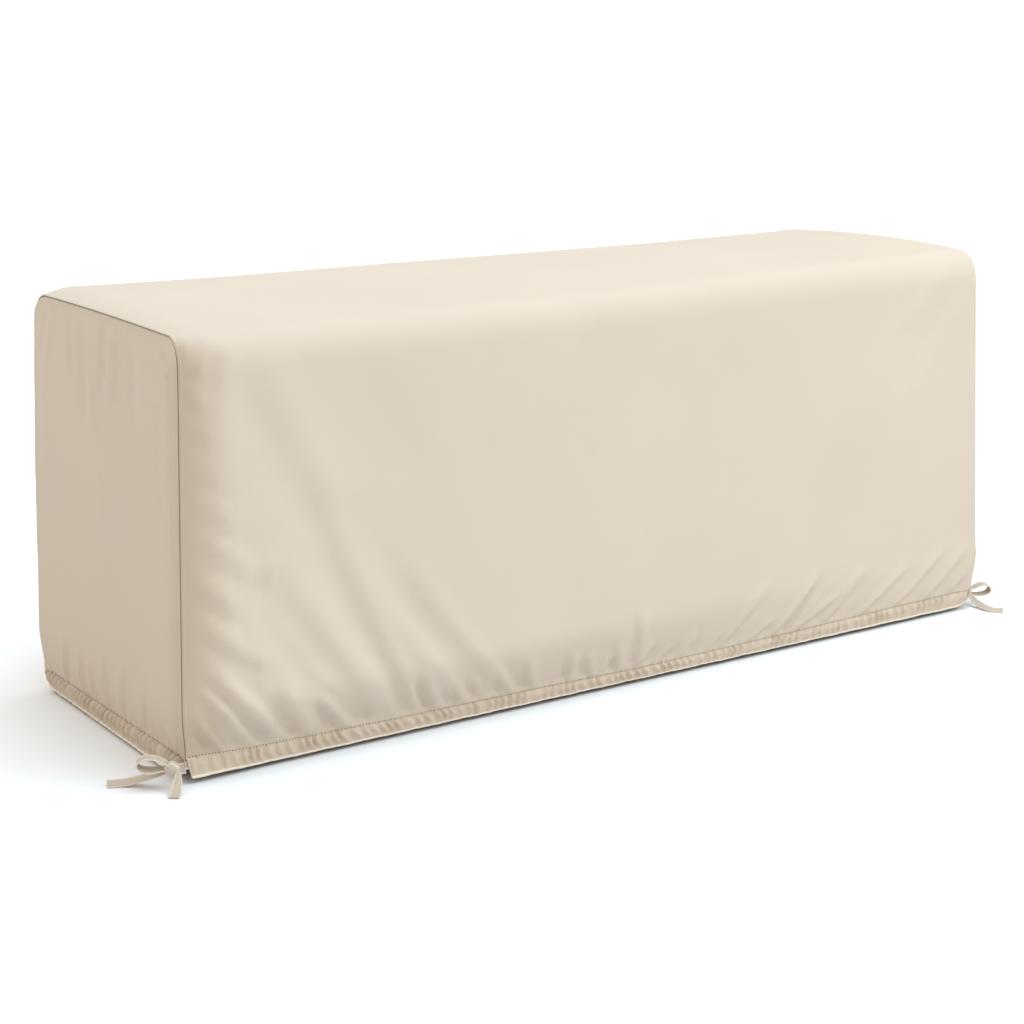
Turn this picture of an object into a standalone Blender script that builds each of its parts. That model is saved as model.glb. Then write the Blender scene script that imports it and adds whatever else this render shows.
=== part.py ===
"""Outdoor sofa cover: a long hollow box of coated cloth, open underneath, as it hangs when fitted.

It is cut as one wrap panel, which runs up the front, over the top and down the back, and two flat end
panels sewn in at its two edges. The foot is turned up into a stitched casing that gathers the cloth, and a
tape leaves the casing at each front corner and is tied in a half bow. Metres, +Z up, +X to the right along
the front, +Y to the back. The origin is at the middle of the top's underside.
"""

import math
from collections import namedtuple

import bmesh
import bpy
import numpy as np
from mathutils import Vector

# Driving dimensions.
HEIGHT = 0.885  # outer face of the top above the floor
TOP_LENGTH = 2.084
TOP_DEPTH = 0.680
FLARE_LENGTH = 0.032  # how much further out each end is at the floor than at the top
FLARE_DEPTH = 0.022  # the same for the front and the back
CORNER_RADIUS = 0.072  # of the front and back top edges
CLOTH = 0.002
SEAM_GAP = 0.0005  # between the panels that are sewn together

# The gathered foot.
HEM_CLEARANCE = 0.009  # hem above the floor
CASING = 0.042
HEM_DRAW = 0.011  # how far the casing draws each wall in
HEM_DRAW_REACH = 0.100  # height over which the draw fades out
HEM_TUCK_LENGTH = 0.002  # how much further in the casing's lower edge is, at each end
HEM_TUCK_DEPTH = 0.006  # the same at the front and the back
END_HEM_DROP = 0.004  # how much lower the end panels hang
GATHER_DEPTH = 0.0030
GATHER_PITCH = 0.033
GATHER_REACH = 0.050  # height over which the gathers fade out
GATHER_BEAT = 0.6  # share of a second wave, which makes the gathers uneven
GATHER_BEAT_TURN = 5.1  # its phase over one pitch

# The panels' edges at the end seams.
SEAM_STRIP = 0.008  # level strip of the wrap along each seam
EDGE_ROLL = 0.005  # how far the wrap turns in beside the seam
EDGE_ROLL_WIDTH = 0.030
EDGE_CALM = 0.070  # distance from the seam over which folds grow
END_INSET = 0.0015  # end panel's face behind the wrap's edge
END_BELLY = 0.005  # outward swell of an end panel's middle

# The tapes.
TAPE_WIDTH = 0.022
TAPE_THICKNESS = 0.002
TAPE_HEIGHT = 0.036  # where it leaves the casing
KNOT_SIZE = (0.033, 0.022, 0.030)

# Mesh density.
WALL_ROWS = 10  # between the casing and the rounded top edge
WALL_GRADING = 1.25  # above 1, the rows lie closer together near the casing
ARC_ROWS = 4
TOP_ROWS = 6
WRAP_COLUMNS = 41
END_COLUMNS = 2 * TOP_ROWS
FINE = 3  # columns of the casing for each column above it

FLOOR = HEIGHT - CLOTH  # depth of the floor below the origin
WALL_TOP = HEIGHT - CORNER_RADIUS
HEM_TOP = HEM_CLEARANCE + CASING
CASING_STATIONS = 3  # rows of points on the casing, its top included

CLOTH_COLOUR = (0.76, 0.67, 0.55, 1.0)
TAPE_COLOUR = (0.72, 0.63, 0.51, 1.0)

# Long folds of the front wall: the ends of each fold as x and height, how far its middle bows sideways, its
# half width, and how far it stands out (a valley is negative).
Fold = namedtuple("Fold", "x_head head x_foot foot bow width depth")
FRONT_FOLDS = (
    Fold(-0.91, 0.86, -0.63, 0.28, -0.03, 0.050, -0.0070),
    Fold(-0.80, 0.84, -0.53, 0.36, -0.02, 0.050, 0.0040),
    Fold(-0.62, 0.83, -0.45, 0.25, -0.02, 0.050, -0.0040),
    Fold(-1.00, 0.88, -0.98, 0.72, 0.01, 0.035, -0.0070),
    Fold(-1.00, 0.60, -0.86, 0.36, -0.01, 0.040, -0.0045),
    Fold(0.95, 0.88, 0.83, 0.66, 0.01, 0.045, -0.0050),
    Fold(0.99, 0.80, 0.89, 0.64, 0.01, 0.040, 0.0030),
)

# Folds that the gathered hem sends up the front wall: where each meets the casing, how far its head lies to
# one side of its foot, how high it runs, its half width and how far it stands out.
HemFold = namedtuple("HemFold", "x_foot lean rise width depth")
FRONT_HEM_FOLDS = (
    HemFold(-0.98, -0.05, 0.17, 0.030, 0.0065),
    HemFold(-0.89, -0.10, 0.24, 0.034, -0.0060),
    HemFold(-0.80, -0.12, 0.28, 0.036, 0.0070),
    HemFold(-0.70, -0.15, 0.30, 0.036, -0.0065),
    HemFold(-0.58, -0.16, 0.32, 0.040, 0.0070),
    HemFold(-0.46, -0.14, 0.26, 0.036, -0.0060),
    HemFold(-0.35, -0.11, 0.21, 0.034, 0.0060),
    HemFold(-0.23, -0.07, 0.17, 0.030, -0.0050),
    HemFold(-0.09, -0.01, 0.12, 0.028, 0.0060),
    HemFold(0.03, 0.01, 0.12, 0.028, 0.0055),
    HemFold(0.17, 0.05, 0.15, 0.030, -0.0050),
    HemFold(0.29, 0.09, 0.20, 0.034, 0.0055),
    HemFold(0.43, 0.12, 0.23, 0.036, -0.0055),
    HemFold(0.55, 0.13, 0.25, 0.036, 0.0060),
    HemFold(0.67, 0.13, 0.27, 0.036, -0.0060),
    HemFold(0.78, 0.12, 0.25, 0.034, 0.0060),
    HemFold(0.88, 0.09, 0.22, 0.034, -0.0055),
)
BACK_FOLD_SHARE = 0.7  # the back wall has the front's folds, this much shallower
FOLD_FADE = 0.3  # share of a fold's length over which each of its ends fades

# Folds of an end panel, by their place across it (towards the back is positive).
END_FOLDS = (
    Fold(-0.17, 0.86, -0.18, 0.66, 0.00, 0.035, -0.0040),
    Fold(0.02, 0.87, 0.00, 0.70, 0.01, 0.040, -0.0035),
    Fold(0.19, 0.86, 0.20, 0.68, 0.00, 0.035, -0.0035),
)
END_HEM_FOLDS = (
    HemFold(-0.24, 0.03, 0.15, 0.030, -0.0050),
    HemFold(-0.13, 0.02, 0.18, 0.034, 0.0050),
    HemFold(-0.02, 0.00, 0.16, 0.034, -0.0045),
    HemFold(0.10, -0.02, 0.19, 0.034, 0.0045),
    HemFold(0.22, -0.04, 0.15, 0.030, -0.0040),
)

# The tape pulls the end panel's hem up beside the front corner.
CORNER_LIFT = 0.024
CORNER_LIFT_REACH = 0.120

# How far the back top edge stands above the level of the front one, by its place along the cover.
Rise = namedtuple("Rise", "x up")
BACK_RISE = (
    Rise(-1.04, 0.006),
    Rise(-0.98, 0.013),
    Rise(-0.88, 0.011),
    Rise(-0.10, 0.001),
    Rise(0.80, -0.008),
    Rise(1.04, -0.006),
)
TOP_SAG = 0.004  # of the top's middle

# How far the top arches up between its front and back edges, by its place along the cover.
Arch = namedtuple("Arch", "x up")
TOP_ARCH = (
    Arch(-1.04, 0.004),
    Arch(-0.80, 0.001),
    Arch(0.60, 0.001),
    Arch(1.04, 0.010),
)

# Routes of the tapes: how far out past the end of the casing and how far back from its front face each
# point lies, its height above the floor, and the direction of the tape's width.
Key = namedtuple("Key", "out back height across")
Knot = namedtuple("Knot", "out back height")
LEFT_KNOT = Knot(0.025, 0.000, 0.041)
LEFT_LEAD = (
    Key(0.0012, 0.006, 0.036, (0.0, 0.1, 1.0)),
    Key(0.012, 0.005, 0.037, (0.0, 0.1, 1.0)),
    Key(0.024, 0.002, 0.040, (0.0, 0.1, 1.0)),
)
LEFT_LOOP = (
    Key(0.027, 0.000, 0.048, (0.35, 0.75, 0.45)),
    Key(0.037, 0.001, 0.056, (0.35, 0.75, 0.45)),
    Key(0.053, 0.007, 0.067, (0.35, 0.75, 0.45)),
    Key(0.073, 0.014, 0.073, (0.35, 0.75, 0.45)),
    Key(0.086, 0.019, 0.069, (0.35, 0.75, 0.45)),
    Key(0.091, 0.021, 0.059, (0.35, 0.75, 0.45)),
    Key(0.083, 0.018, 0.048, (0.35, 0.75, 0.45)),
    Key(0.067, 0.012, 0.043, (0.35, 0.75, 0.45)),
    Key(0.051, 0.006, 0.043, (0.35, 0.75, 0.45)),
    Key(0.038, 0.001, 0.042, (0.35, 0.75, 0.45)),
    Key(0.027, 0.000, 0.039, (0.35, 0.75, 0.45)),
)
LEFT_LONG_TAIL = (
    Key(0.028, 0.002, 0.033, (0.2, 0.7, 0.7)),
    Key(0.042, 0.013, 0.028, (0.4, 0.6, 0.7)),
    Key(0.059, 0.047, 0.014, (0.7, 0.5, 0.4)),
    Key(0.086, 0.074, 0.004, (0.6, 0.8, 0.1)),
    Key(0.121, 0.091, 0.0015, (0.5, 0.8, 0.0)),
)
LEFT_SHORT_TAIL = (
    Key(0.022, -0.004, 0.048, (1.0, 0.0, 0.1)),
    Key(0.023, -0.013, 0.036, (1.0, -0.1, 0.0)),
    Key(0.029, -0.020, 0.019, (1.0, -0.3, 0.0)),
    Key(0.038, -0.033, 0.006, (0.9, -0.5, 0.0)),
    Key(0.047, -0.046, 0.0015, (0.8, -0.6, 0.0)),
)
RIGHT_KNOT = Knot(0.020, 0.034, 0.036)
RIGHT_LEAD = (
    Key(0.0015, 0.006, 0.036, (0.0, 0.1, 1.0)),
    Key(0.012, 0.010, 0.037, (0.0, 0.1, 1.0)),
    Key(0.018, 0.030, 0.037, (0.0, 0.1, 1.0)),
)
RIGHT_LOOP = (
    Key(0.022, 0.034, 0.038, (0.36, 0.93, 0.05)),
    Key(0.036, 0.031, 0.041, (0.36, 0.93, 0.05)),
    Key(0.052, 0.026, 0.047, (0.36, 0.93, 0.05)),
    Key(0.068, 0.021, 0.050, (0.36, 0.93, 0.05)),
    Key(0.082, 0.017, 0.046, (0.36, 0.93, 0.05)),
    Key(0.088, 0.015, 0.037, (0.36, 0.93, 0.05)),
    Key(0.082, 0.017, 0.028, (0.36, 0.93, 0.05)),
    Key(0.066, 0.022, 0.023, (0.36, 0.93, 0.05)),
    Key(0.048, 0.027, 0.024, (0.36, 0.93, 0.05)),
    Key(0.034, 0.031, 0.027, (0.36, 0.93, 0.05)),
    Key(0.022, 0.034, 0.030, (0.36, 0.93, 0.05)),
)
RIGHT_LONG_TAIL = (
    Key(0.022, 0.032, 0.034, (0.7, 0.2, 0.7)),
    Key(0.033, 0.024, 0.022, (0.8, 0.3, 0.5)),
    Key(0.033, 0.008, 0.012, (1.0, 0.1, 0.2)),
    Key(0.031, -0.010, 0.004, (1.0, 0.0, 0.0)),
    Key(0.028, -0.035, 0.0015, (1.0, 0.1, 0.0)),
    Key(0.036, -0.053, 0.0015, (0.9, 0.4, 0.0)),
    Key(0.050, -0.065, 0.0015, (0.7, 0.7, 0.0)),
)


def smooth(t):
    """Soft step from 0 to 1 as t goes from 0 to 1."""
    t = np.clip(t, 0.0, 1.0)
    return t * t * (3.0 - 2.0 * t)


def stand_out(height, flare, tuck):
    """How far a wall is outside its top edge: a steady flare to the floor, less the hem's draw and tuck."""
    flared = flare * (1.0 - np.clip(height / WALL_TOP, 0.0, 1.0))
    drawn = HEM_DRAW * (1.0 - smooth((height - HEM_TOP) / HEM_DRAW_REACH))
    tucked = tuck * np.clip((HEM_TOP - height) / CASING, 0.0, 1.0) ** 2
    return flared - drawn - tucked


def half_length(height):
    return TOP_LENGTH / 2 + stand_out(height, FLARE_LENGTH, HEM_TUCK_LENGTH)


def half_depth(height):
    return TOP_DEPTH / 2 + stand_out(height, FLARE_DEPTH, HEM_TUCK_DEPTH)


def fold_relief(along, height, folds):
    """Sum of soft ridges and valleys, each a bell across its bowed line that fades at the line's ends."""
    relief = np.zeros(np.broadcast(along, height).shape)
    for fold in folds:
        line = np.array((fold.x_foot - fold.x_head, fold.foot - fold.head))
        length = np.hypot(*line)
        way = line / length
        t = ((along - fold.x_head) * way[0] + (height - fold.head) * way[1]) / length
        aside = (along - fold.x_head) * way[1] - (height - fold.head) * way[0]
        aside = aside - fold.bow * 4.0 * t * (1.0 - t)
        fade = smooth(t / FOLD_FADE) * smooth((1.0 - t) / FOLD_FADE)
        relief = relief + fold.depth * np.exp(-((aside / fold.width) ** 2)) * fade
    return relief


def hem_fold_relief(along, height, folds):
    """Folds that rise from the casing: full at their feet, leaning, and gone at their heads."""
    relief = np.zeros(np.broadcast(along, height).shape)
    for fold in folds:
        t = (height - HEM_TOP) / fold.rise
        aside = along - fold.x_foot - fold.lean * t
        fade = 1.0 - smooth(t)
        relief = relief + fold.depth * np.exp(-((aside / fold.width) ** 2)) * fade
    return relief


def gather_relief(along, height):
    """Small uneven puckers of the casing: two waves of unlike pitch, fading above the stitch line."""
    wave = np.sin(2 * math.pi * along / GATHER_PITCH)
    beat = GATHER_BEAT * np.sin(GATHER_BEAT_TURN * along / GATHER_PITCH + 1.0)
    fade = 1.0 - smooth((height - HEM_TOP) / GATHER_REACH)
    return GATHER_DEPTH * (wave + beat) / (1.0 + GATHER_BEAT) * fade


def section():
    """Stations round the cover from the front hem over the top to the back hem, as rows of y, height and
    the outward direction in y and up."""
    half = TOP_DEPTH / 2
    casing = np.linspace(HEM_CLEARANCE, HEM_TOP, CASING_STATIONS)
    wall = HEM_TOP + (WALL_TOP - HEM_TOP) * np.linspace(0.0, 1.0, WALL_ROWS + 1)[1:] ** WALL_GRADING
    heights = np.concatenate((casing, wall))
    walls = [(-half_depth(h), h, -1.0, 0.0) for h in heights]
    arcs = []
    for angle in np.linspace(0.0, math.pi / 2, ARC_ROWS + 1)[1:]:
        out_y, out_up = -math.cos(angle), math.sin(angle)
        arcs.append(
            (CORNER_RADIUS - half + CORNER_RADIUS * out_y, WALL_TOP + CORNER_RADIUS * out_up, out_y, out_up)
        )
    front = np.array(walls + arcs)
    back = front[::-1] * np.array((-1.0, 1.0, -1.0, 1.0))
    flat = half - CORNER_RADIUS
    top = [(y, HEIGHT, 0.0, 1.0) for y in np.linspace(-flat, flat, TOP_ROWS + 1)[1:-1]]
    return front, np.concatenate((front, np.array(top), back))


def edge_calm(x, height):
    """0 along the end seams, 1 where folds may stand freely."""
    inside = half_length(height) - np.abs(x) - SEAM_STRIP
    return smooth(inside / EDGE_CALM)


def edge_roll(x, height):
    """How far the wrap turns in beside the end seams."""
    inside = half_length(height) - np.abs(x) - SEAM_STRIP
    return EDGE_ROLL * (1.0 - smooth(inside / EDGE_ROLL_WIDTH))


def wrap_relief(x, height, out_y, out_up):
    """Distance of the wrap from its plain section, along the section's outward direction."""
    share = np.where(out_y > 0.0, BACK_FOLD_SHARE, 1.0)
    walls = fold_relief(x, height, FRONT_FOLDS) + hem_fold_relief(x, height, FRONT_HEM_FOLDS)
    relief = share * walls * (1.0 - smooth(out_up)) + gather_relief(x, height)
    sag = TOP_SAG * smooth(out_up) * (1.0 - (x / half_length(height)) ** 2)
    return (relief - sag) * edge_calm(x, height) - edge_roll(x, height)


def back_rise(x, y, height):
    """Upward shift of the back top edge, which fades towards the front and down the back."""
    table = np.array(BACK_RISE)
    up = np.interp(x, table[:, 0], table[:, 1])
    return up * smooth(0.5 + y / TOP_DEPTH) * smooth((height - WALL_TOP / 2) / (WALL_TOP / 2))


def top_arch(x, y, height):
    """Upward shift of the top's middle, which fades to its edges."""
    table = np.array(TOP_ARCH)
    up = np.interp(x, table[:, 0], table[:, 1])
    across = np.clip(1.0 - (2.0 * y / TOP_DEPTH) ** 2, 0.0, 1.0)
    return up * across * smooth((height - WALL_TOP) / CORNER_RADIUS)


def wrap_row(station, x):
    """Points of the wrap's outer face at one station of the section."""
    y, height, out_y, out_up = station
    relief = wrap_relief(x, height, out_y, out_up)
    points_y = y + out_y * relief
    points_up = height + out_up * relief + back_rise(x, y, height) + top_arch(x, y, height)
    return np.stack((x, points_y, points_up - FLOOR), axis=-1)


def column_places(height):
    """x of the wrap's columns at one height: the seam strip, the rolled edge, then even steps."""
    half = half_length(height)
    inner = half - SEAM_STRIP - EDGE_ROLL_WIDTH
    edges = np.array((half, half - SEAM_STRIP))
    return np.concatenate((-edges, np.linspace(-inner, inner, WRAP_COLUMNS), edges[::-1]))


def refine(places):
    """FINE even steps between each two places."""
    steps = np.arange(FINE) / FINE
    fine = places[:-1, None] + (places[1:] - places[:-1])[:, None] * steps
    return np.append(fine.ravel(), places[-1])


def strip_faces(low, high):
    """Faces between two rows of vertex numbers, where one row may have FINE times the other's columns."""
    if len(low) == len(high):
        return [(low[i], low[i + 1], high[i + 1], high[i]) for i in range(len(low) - 1)]
    if len(low) < len(high):
        return [face[::-1] for face in strip_faces(high, low)]
    faces = []
    for i in range(len(high) - 1):
        f = FINE * i
        faces.append((low[f], low[f + 1], high[i]))
        faces.append((low[f + 1], low[f + 2], high[i + 1], high[i]))
        faces.append((low[f + 2], low[f + 3], high[i + 1]))
    return faces


def cloth_object(name, rows, material, outward):
    """A sheet from its rows of outer points, given the cloth's thickness inwards."""
    points = np.concatenate(rows)
    starts = np.cumsum([0] + [len(row) for row in rows])
    numbers = [list(range(starts[i], starts[i + 1])) for i in range(len(rows))]
    faces = [face for i in range(len(rows) - 1) for face in strip_faces(numbers[i], numbers[i + 1])]
    mesh = bpy.data.meshes.new(name)
    mesh.from_pydata(points.tolist(), [], faces)
    if mesh.polygons[0].normal.dot(outward) < 0.0:
        mesh.flip_normals()
    mesh.materials.append(material)
    mesh.shade_smooth()
    cloth = bpy.data.objects.new(name, mesh)
    bpy.context.scene.collection.objects.link(cloth)
    thickness = cloth.modifiers.new("Cloth thickness", "SOLIDIFY")
    thickness.thickness = CLOTH
    thickness.offset = -1.0
    return cloth


def wrap_panel(material):
    """Front, top and back in one sheet, its casings finer than the rest."""
    stations = section()[1]
    rows = []
    for number, station in enumerate(stations):
        places = column_places(station[1])
        if min(number, len(stations) - 1 - number) < CASING_STATIONS:
            places = refine(places)
        rows.append(wrap_row(station, places))
    return cloth_object("wrap_panel", rows, material, Vector((0, -1, 0)))


def end_relief(y, height, edge):
    """Outward swell, folds and gathers of an end panel, all gone at its seam."""
    belly = END_BELLY * smooth(height / WALL_TOP)
    folds = fold_relief(y, height, END_FOLDS) + hem_fold_relief(y, height, END_HEM_FOLDS)
    return (belly + folds + gather_relief(y, height)) * edge


def corner_lift(y, height):
    """How far the hem of an end panel is pulled up beside the front corner."""
    near = 1.0 - smooth((y + TOP_DEPTH / 2) / CORNER_LIFT_REACH)
    return CORNER_LIFT * near * np.clip((HEM_TOP - height) / CASING, 0.0, 1.0)


def hem_drop(y, height):
    """How much lower the hem of an end panel hangs than the wrap's, away from its corners."""
    level = smooth((TOP_DEPTH / 2 - np.abs(y)) / EDGE_CALM)
    return END_HEM_DROP * level * np.clip((HEM_TOP - height) / CASING, 0.0, 1.0)


def end_panel(name, side, material):
    """The flat panel at one end (side -1 left, 1 right), set inside the wrap's rolled edge."""
    front = section()[0]
    inset = EDGE_ROLL + CLOTH + SEAM_GAP
    across = np.linspace(0.0, 1.0, END_COLUMNS + 1)
    rows = []
    for number, (station_y, station_height, out_y, out_up) in enumerate(front):
        share = refine(across) if number < CASING_STATIONS else across
        seam_y = station_y - out_y * inset
        y = seam_y * (1.0 - 2.0 * share)
        height = np.full_like(y, station_height - out_up * inset)
        from_top = HEIGHT - inset - height
        from_side = np.abs(seam_y) - np.abs(y)
        edge = smooth(from_side / EDGE_CALM) * smooth(from_top / EDGE_CALM)
        x = half_length(station_height) - END_INSET + end_relief(y, height, edge)
        end = side * TOP_LENGTH / 2
        lifted = height + corner_lift(y, height) - hem_drop(y, height)
        y = y * (half_depth(lifted) - inset) / (half_depth(height) - inset)
        lifted = lifted + back_rise(end, y, station_height) + top_arch(end, y, station_height)
        rows.append(np.stack((side * x, y, lifted - FLOOR), axis=-1))
    return cloth_object(name, rows, material, Vector((side, 0, 0)))


def place(key, side):
    """Where a point of a tape lies, on the left (side -1) or the right (1)."""
    x = side * (half_length(TAPE_HEIGHT) + key.out)
    return x, key.back - half_depth(TAPE_HEIGHT), key.height - FLOOR


def smooth_route(keys, side, steps):
    """Points and width directions on a smooth curve through the keys (a Catmull-Rom spline)."""
    table = np.array([(*place(key, side), *key.across) for key in keys])
    ends = np.concatenate((2 * table[:1] - table[1:2], table, 2 * table[-1:] - table[-2:-1]))
    t = (np.arange(steps) / steps)[:, None]
    spans = []
    for a, b, c, d in zip(ends, ends[1:], ends[2:], ends[3:]):
        bend = (2 * a - 5 * b + 4 * c - d) * t**2 + (3 * b - a - 3 * c + d) * t**3
        spans.append(b + 0.5 * ((c - a) * t + bend))
    return np.concatenate(spans + [table[-1:]])


def tape_mesh(name, keys, side, steps=4):
    """A flat tape along a route: a thin rectangle carried along it, closed at both ends."""
    route = smooth_route(keys, side, steps)
    centre = route[:, :3]
    along = np.gradient(centre, axis=0)
    along /= np.linalg.norm(along, axis=1, keepdims=True)
    across = route[:, 3:] - along * np.sum(route[:, 3:] * along, axis=1, keepdims=True)
    across /= np.linalg.norm(across, axis=1, keepdims=True)
    thick = np.cross(along, across) * TAPE_THICKNESS / 2
    across = across * TAPE_WIDTH / 2
    ring = (centre - across - thick, centre + across - thick, centre + across + thick, centre - across + thick)
    points = np.stack(ring, axis=1).reshape(-1, 3)
    count = len(centre)
    faces = [
        (4 * i + k, 4 * i + (k + 1) % 4, 4 * i + 4 + (k + 1) % 4, 4 * i + 4 + k)
        for i in range(count - 1)
        for k in range(4)
    ]
    faces += [(3, 2, 1, 0), tuple(4 * count - 4 + k for k in range(4))]
    mesh = bpy.data.meshes.new(name)
    mesh.from_pydata(points.tolist(), [], faces)
    return mesh


def knot_mesh(name, knot, side):
    """A pressed lump, wider and higher than it is deep."""
    mesh = bpy.data.meshes.new(name)
    lump = bmesh.new()
    bmesh.ops.create_icosphere(lump, subdivisions=3, radius=0.5)
    bmesh.ops.scale(lump, vec=KNOT_SIZE, verts=lump.verts)
    bmesh.ops.translate(lump, vec=place(knot, side), verts=lump.verts)
    lump.to_mesh(mesh)
    lump.free()
    return mesh


def tie(name, side, knot, routes, material):
    """The tape's tied end as one solid: its knot, joined with each stretch of tape."""
    body = bpy.data.objects.new(name, knot_mesh(name, knot, side))
    body.data.materials.append(material)
    bpy.context.scene.collection.objects.link(body)
    for number, keys in enumerate(routes):
        label = f"{name}_stretch_{number}"
        stretch = bpy.data.objects.new(label, tape_mesh(label, keys, side))
        bpy.context.scene.collection.objects.link(stretch)
        stretch.parent = body
        stretch.hide_render = True
        stretch.display_type = "WIRE"
        union = body.modifiers.new(f"Joined stretch {number}", "BOOLEAN")
        union.operation = "UNION"
        union.solver = "EXACT"
        union.object = stretch
    return body


def cloth_material(name, colour):
    """Matt coated cloth."""
    material = bpy.data.materials.new(name)
    material.use_nodes = True
    shader = material.node_tree.nodes["Principled BSDF"]
    shader.inputs["Base Color"].default_value = colour
    shader.inputs["Roughness"].default_value = 0.75
    shader.inputs["Metallic"].default_value = 0.0
    return material


def main():
    for thing in list(bpy.data.objects):
        bpy.data.objects.remove(thing)
    cover = bpy.data.objects.new("outdoor_sofa_cover", None)
    bpy.context.scene.collection.objects.link(cover)
    tape = cloth_material("tape", TAPE_COLOUR)
    pieces = [
        wrap_panel(cloth_material("wrap_cloth", CLOTH_COLOUR)),
        end_panel("left_end_panel", -1, cloth_material("left_end_cloth", CLOTH_COLOUR)),
        end_panel("right_end_panel", 1, cloth_material("right_end_cloth", CLOTH_COLOUR)),
        tie("left_tie", -1, LEFT_KNOT, (LEFT_LEAD, LEFT_LOOP, LEFT_LONG_TAIL, LEFT_SHORT_TAIL), tape),
        tie("right_tie", 1, RIGHT_KNOT, (RIGHT_LEAD, RIGHT_LOOP, RIGHT_LONG_TAIL), tape),
    ]
    for piece in pieces:
        piece.parent = cover


main()
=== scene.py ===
"""Outdoor sofa cover: the visual model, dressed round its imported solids.

Metres, +Z up, +X to the right along the front, +Y to the back, origin at the middle of the underside of the
top. Each operator makes one piece of the cover, or one group of like pieces, as a surface worked out with
numpy, and hides the solids that it stands for.
"""

import math
from collections import namedtuple

import bpy
import numpy as np
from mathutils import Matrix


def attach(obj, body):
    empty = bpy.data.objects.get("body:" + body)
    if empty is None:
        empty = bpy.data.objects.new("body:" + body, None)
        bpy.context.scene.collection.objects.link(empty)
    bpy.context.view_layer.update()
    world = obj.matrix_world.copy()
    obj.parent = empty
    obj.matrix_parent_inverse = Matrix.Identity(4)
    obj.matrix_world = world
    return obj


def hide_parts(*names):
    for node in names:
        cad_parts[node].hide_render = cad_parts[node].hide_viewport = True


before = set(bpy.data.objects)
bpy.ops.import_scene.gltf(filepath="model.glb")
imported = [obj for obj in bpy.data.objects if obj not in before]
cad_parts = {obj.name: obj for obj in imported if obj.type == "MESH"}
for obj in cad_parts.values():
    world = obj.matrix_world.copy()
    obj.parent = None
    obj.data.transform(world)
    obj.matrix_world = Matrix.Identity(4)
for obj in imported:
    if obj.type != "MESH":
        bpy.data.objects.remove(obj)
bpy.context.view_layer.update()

bl_info = {
    "name": "Outdoor sofa cover",
    "version": (1, 0, 0),
    "blender": (4, 5, 0),
    "location": "View3D > Sidebar > Cover",
    "description": "Fitted cloth cover with a gathered foot and tied tapes",
    "category": "Object",
}

BODY = "root"

# Small sizes that a user would not change, in metres. First the end seams, and the cloth beside them.
SEAM_ROLL = 0.0019  # radius to which the cloth turns in at a seam
SEAM_GAP = 0.0007  # between the two rolled edges
SEAM_LAP = 0.0022  # how far an end panel's edge runs on under the wrap
SEAM_DIVE = 0.0050  # how deep it dives there
SEAM_STRIP = 0.008  # level strip of the wrap along a seam
SEAM_BEAD = 0.0011  # ridge that the folded-in cloth makes beside the seam
SEAM_BEAD_PLACE = 0.0034
SEAM_BEAD_WIDTH = 0.0014
WRAP_INSET_FRONT = 0.0025  # how far the wrap's edges stop short of the end panels on the front wall
WRAP_INSET_BACK = 0.0045
EDGE_ROLL = 0.0018  # how far the wrap turns in beside the seam on its walls
EDGE_ROLL_WIDTH = 0.030
EDGE_ROLL_TOP = 0.0090  # the same on its top
EDGE_ROLL_TOP_WIDTH = 0.068
EDGE_CALM = 0.060  # distance from a seam over which folds grow
SEAM_CREASE_CALM = (0.002, 0.022)  # where the creases that start at the seam begin and have their depth
PUCKER_CALM = 0.010  # distance from a seam over which the gathers grow
LEFT_SWELL = 0.032  # how far the front stands out beyond its left seam
LEFT_SWELL_WIDTH = 0.098  # over this distance, steepest at the seam
LEFT_SWELL_FADE = (-0.3, 0.8)  # places along the front where it begins to fade and has gone
LEFT_SWELL_FOOT = 0.120  # height above the stitches over which it grows
PAINTED_STRIP_SHADE = (0.004, 0.112)  # full and faded width of the painted shade beside the front seams
PAINTED_STRIP_SHADE_END = (0.010, 0.072)  # the same on the end panels
PAINTED_STRIP_SHADE_FADE = 0.130  # by how much it narrows round the top edge
END_INSET = 0.0010  # how far inside the cover's length an end panel's plain face lies
END_BELLY = 0.005  # outward swell of an end panel
END_MEASURE = 0.3  # height at which an end panel's columns are measured out
TOP_SAG = 0.004
WIDER_EDGE = (0.35, 1.00)  # places along the front between which its top edge grows rounder

# The casing and its stitches.
HEM_DRAW_REACH = 0.100  # height over which the tape's pull fades out
HEM_TUCK_LENGTH = 0.002  # how much further in the casing's foot is, at each end
HEM_TUCK_DEPTH = 0.009  # the same at the front and the back
END_HEM_DROP = 0.004  # how much lower the end panels hang
HEM_ROLL = 0.0022  # radius of the folded foot
HEM_BEAD = 0.0020  # ridge of the thick fold along the foot
HEM_BEAD_WIDTH = 0.0021
CORNER_LIFT = 0.024  # how far the end panels' foot rises beside the front corners
CORNER_LIFT_REACH = 0.120
FOOT_LIFT = 0.014  # how far the front casing's foot rises at its right corner
FOOT_LIFT_REACH = 0.040
FOOT_FLARE = 0.006  # how far the front casing's foot stands out at its left corner
FOOT_FLARE_LIFT = 0.003  # how far it rises there
FOOT_FLARE_REACH = 0.200
MOUTH_TOP = 0.0008  # how far the casing's mouth is set back from the corner, at the stitches
MOUTH_FOOT = 0.0130  # the same at its foot
STITCH_GROOVE = 0.0007
STITCH_GROOVE_WIDTH = 0.0030
STITCH_LENGTH = 0.0040
STITCH_RADIUS = 0.00095
STITCH_MARGIN = 0.010  # between the last stitch and the corner
STITCH_AHEAD = (0.001, 0.0005)  # steps that show which way a row runs: along the wrap, and as an end's share
PINCH = 0.0050  # how far the stitches of the casing pull the walls in just above them
PINCH_REACH = 0.045
PINCH_BELOW = 0.014
PINCH_CALM = 0.040  # distance from a seam over which the pull grows
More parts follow.
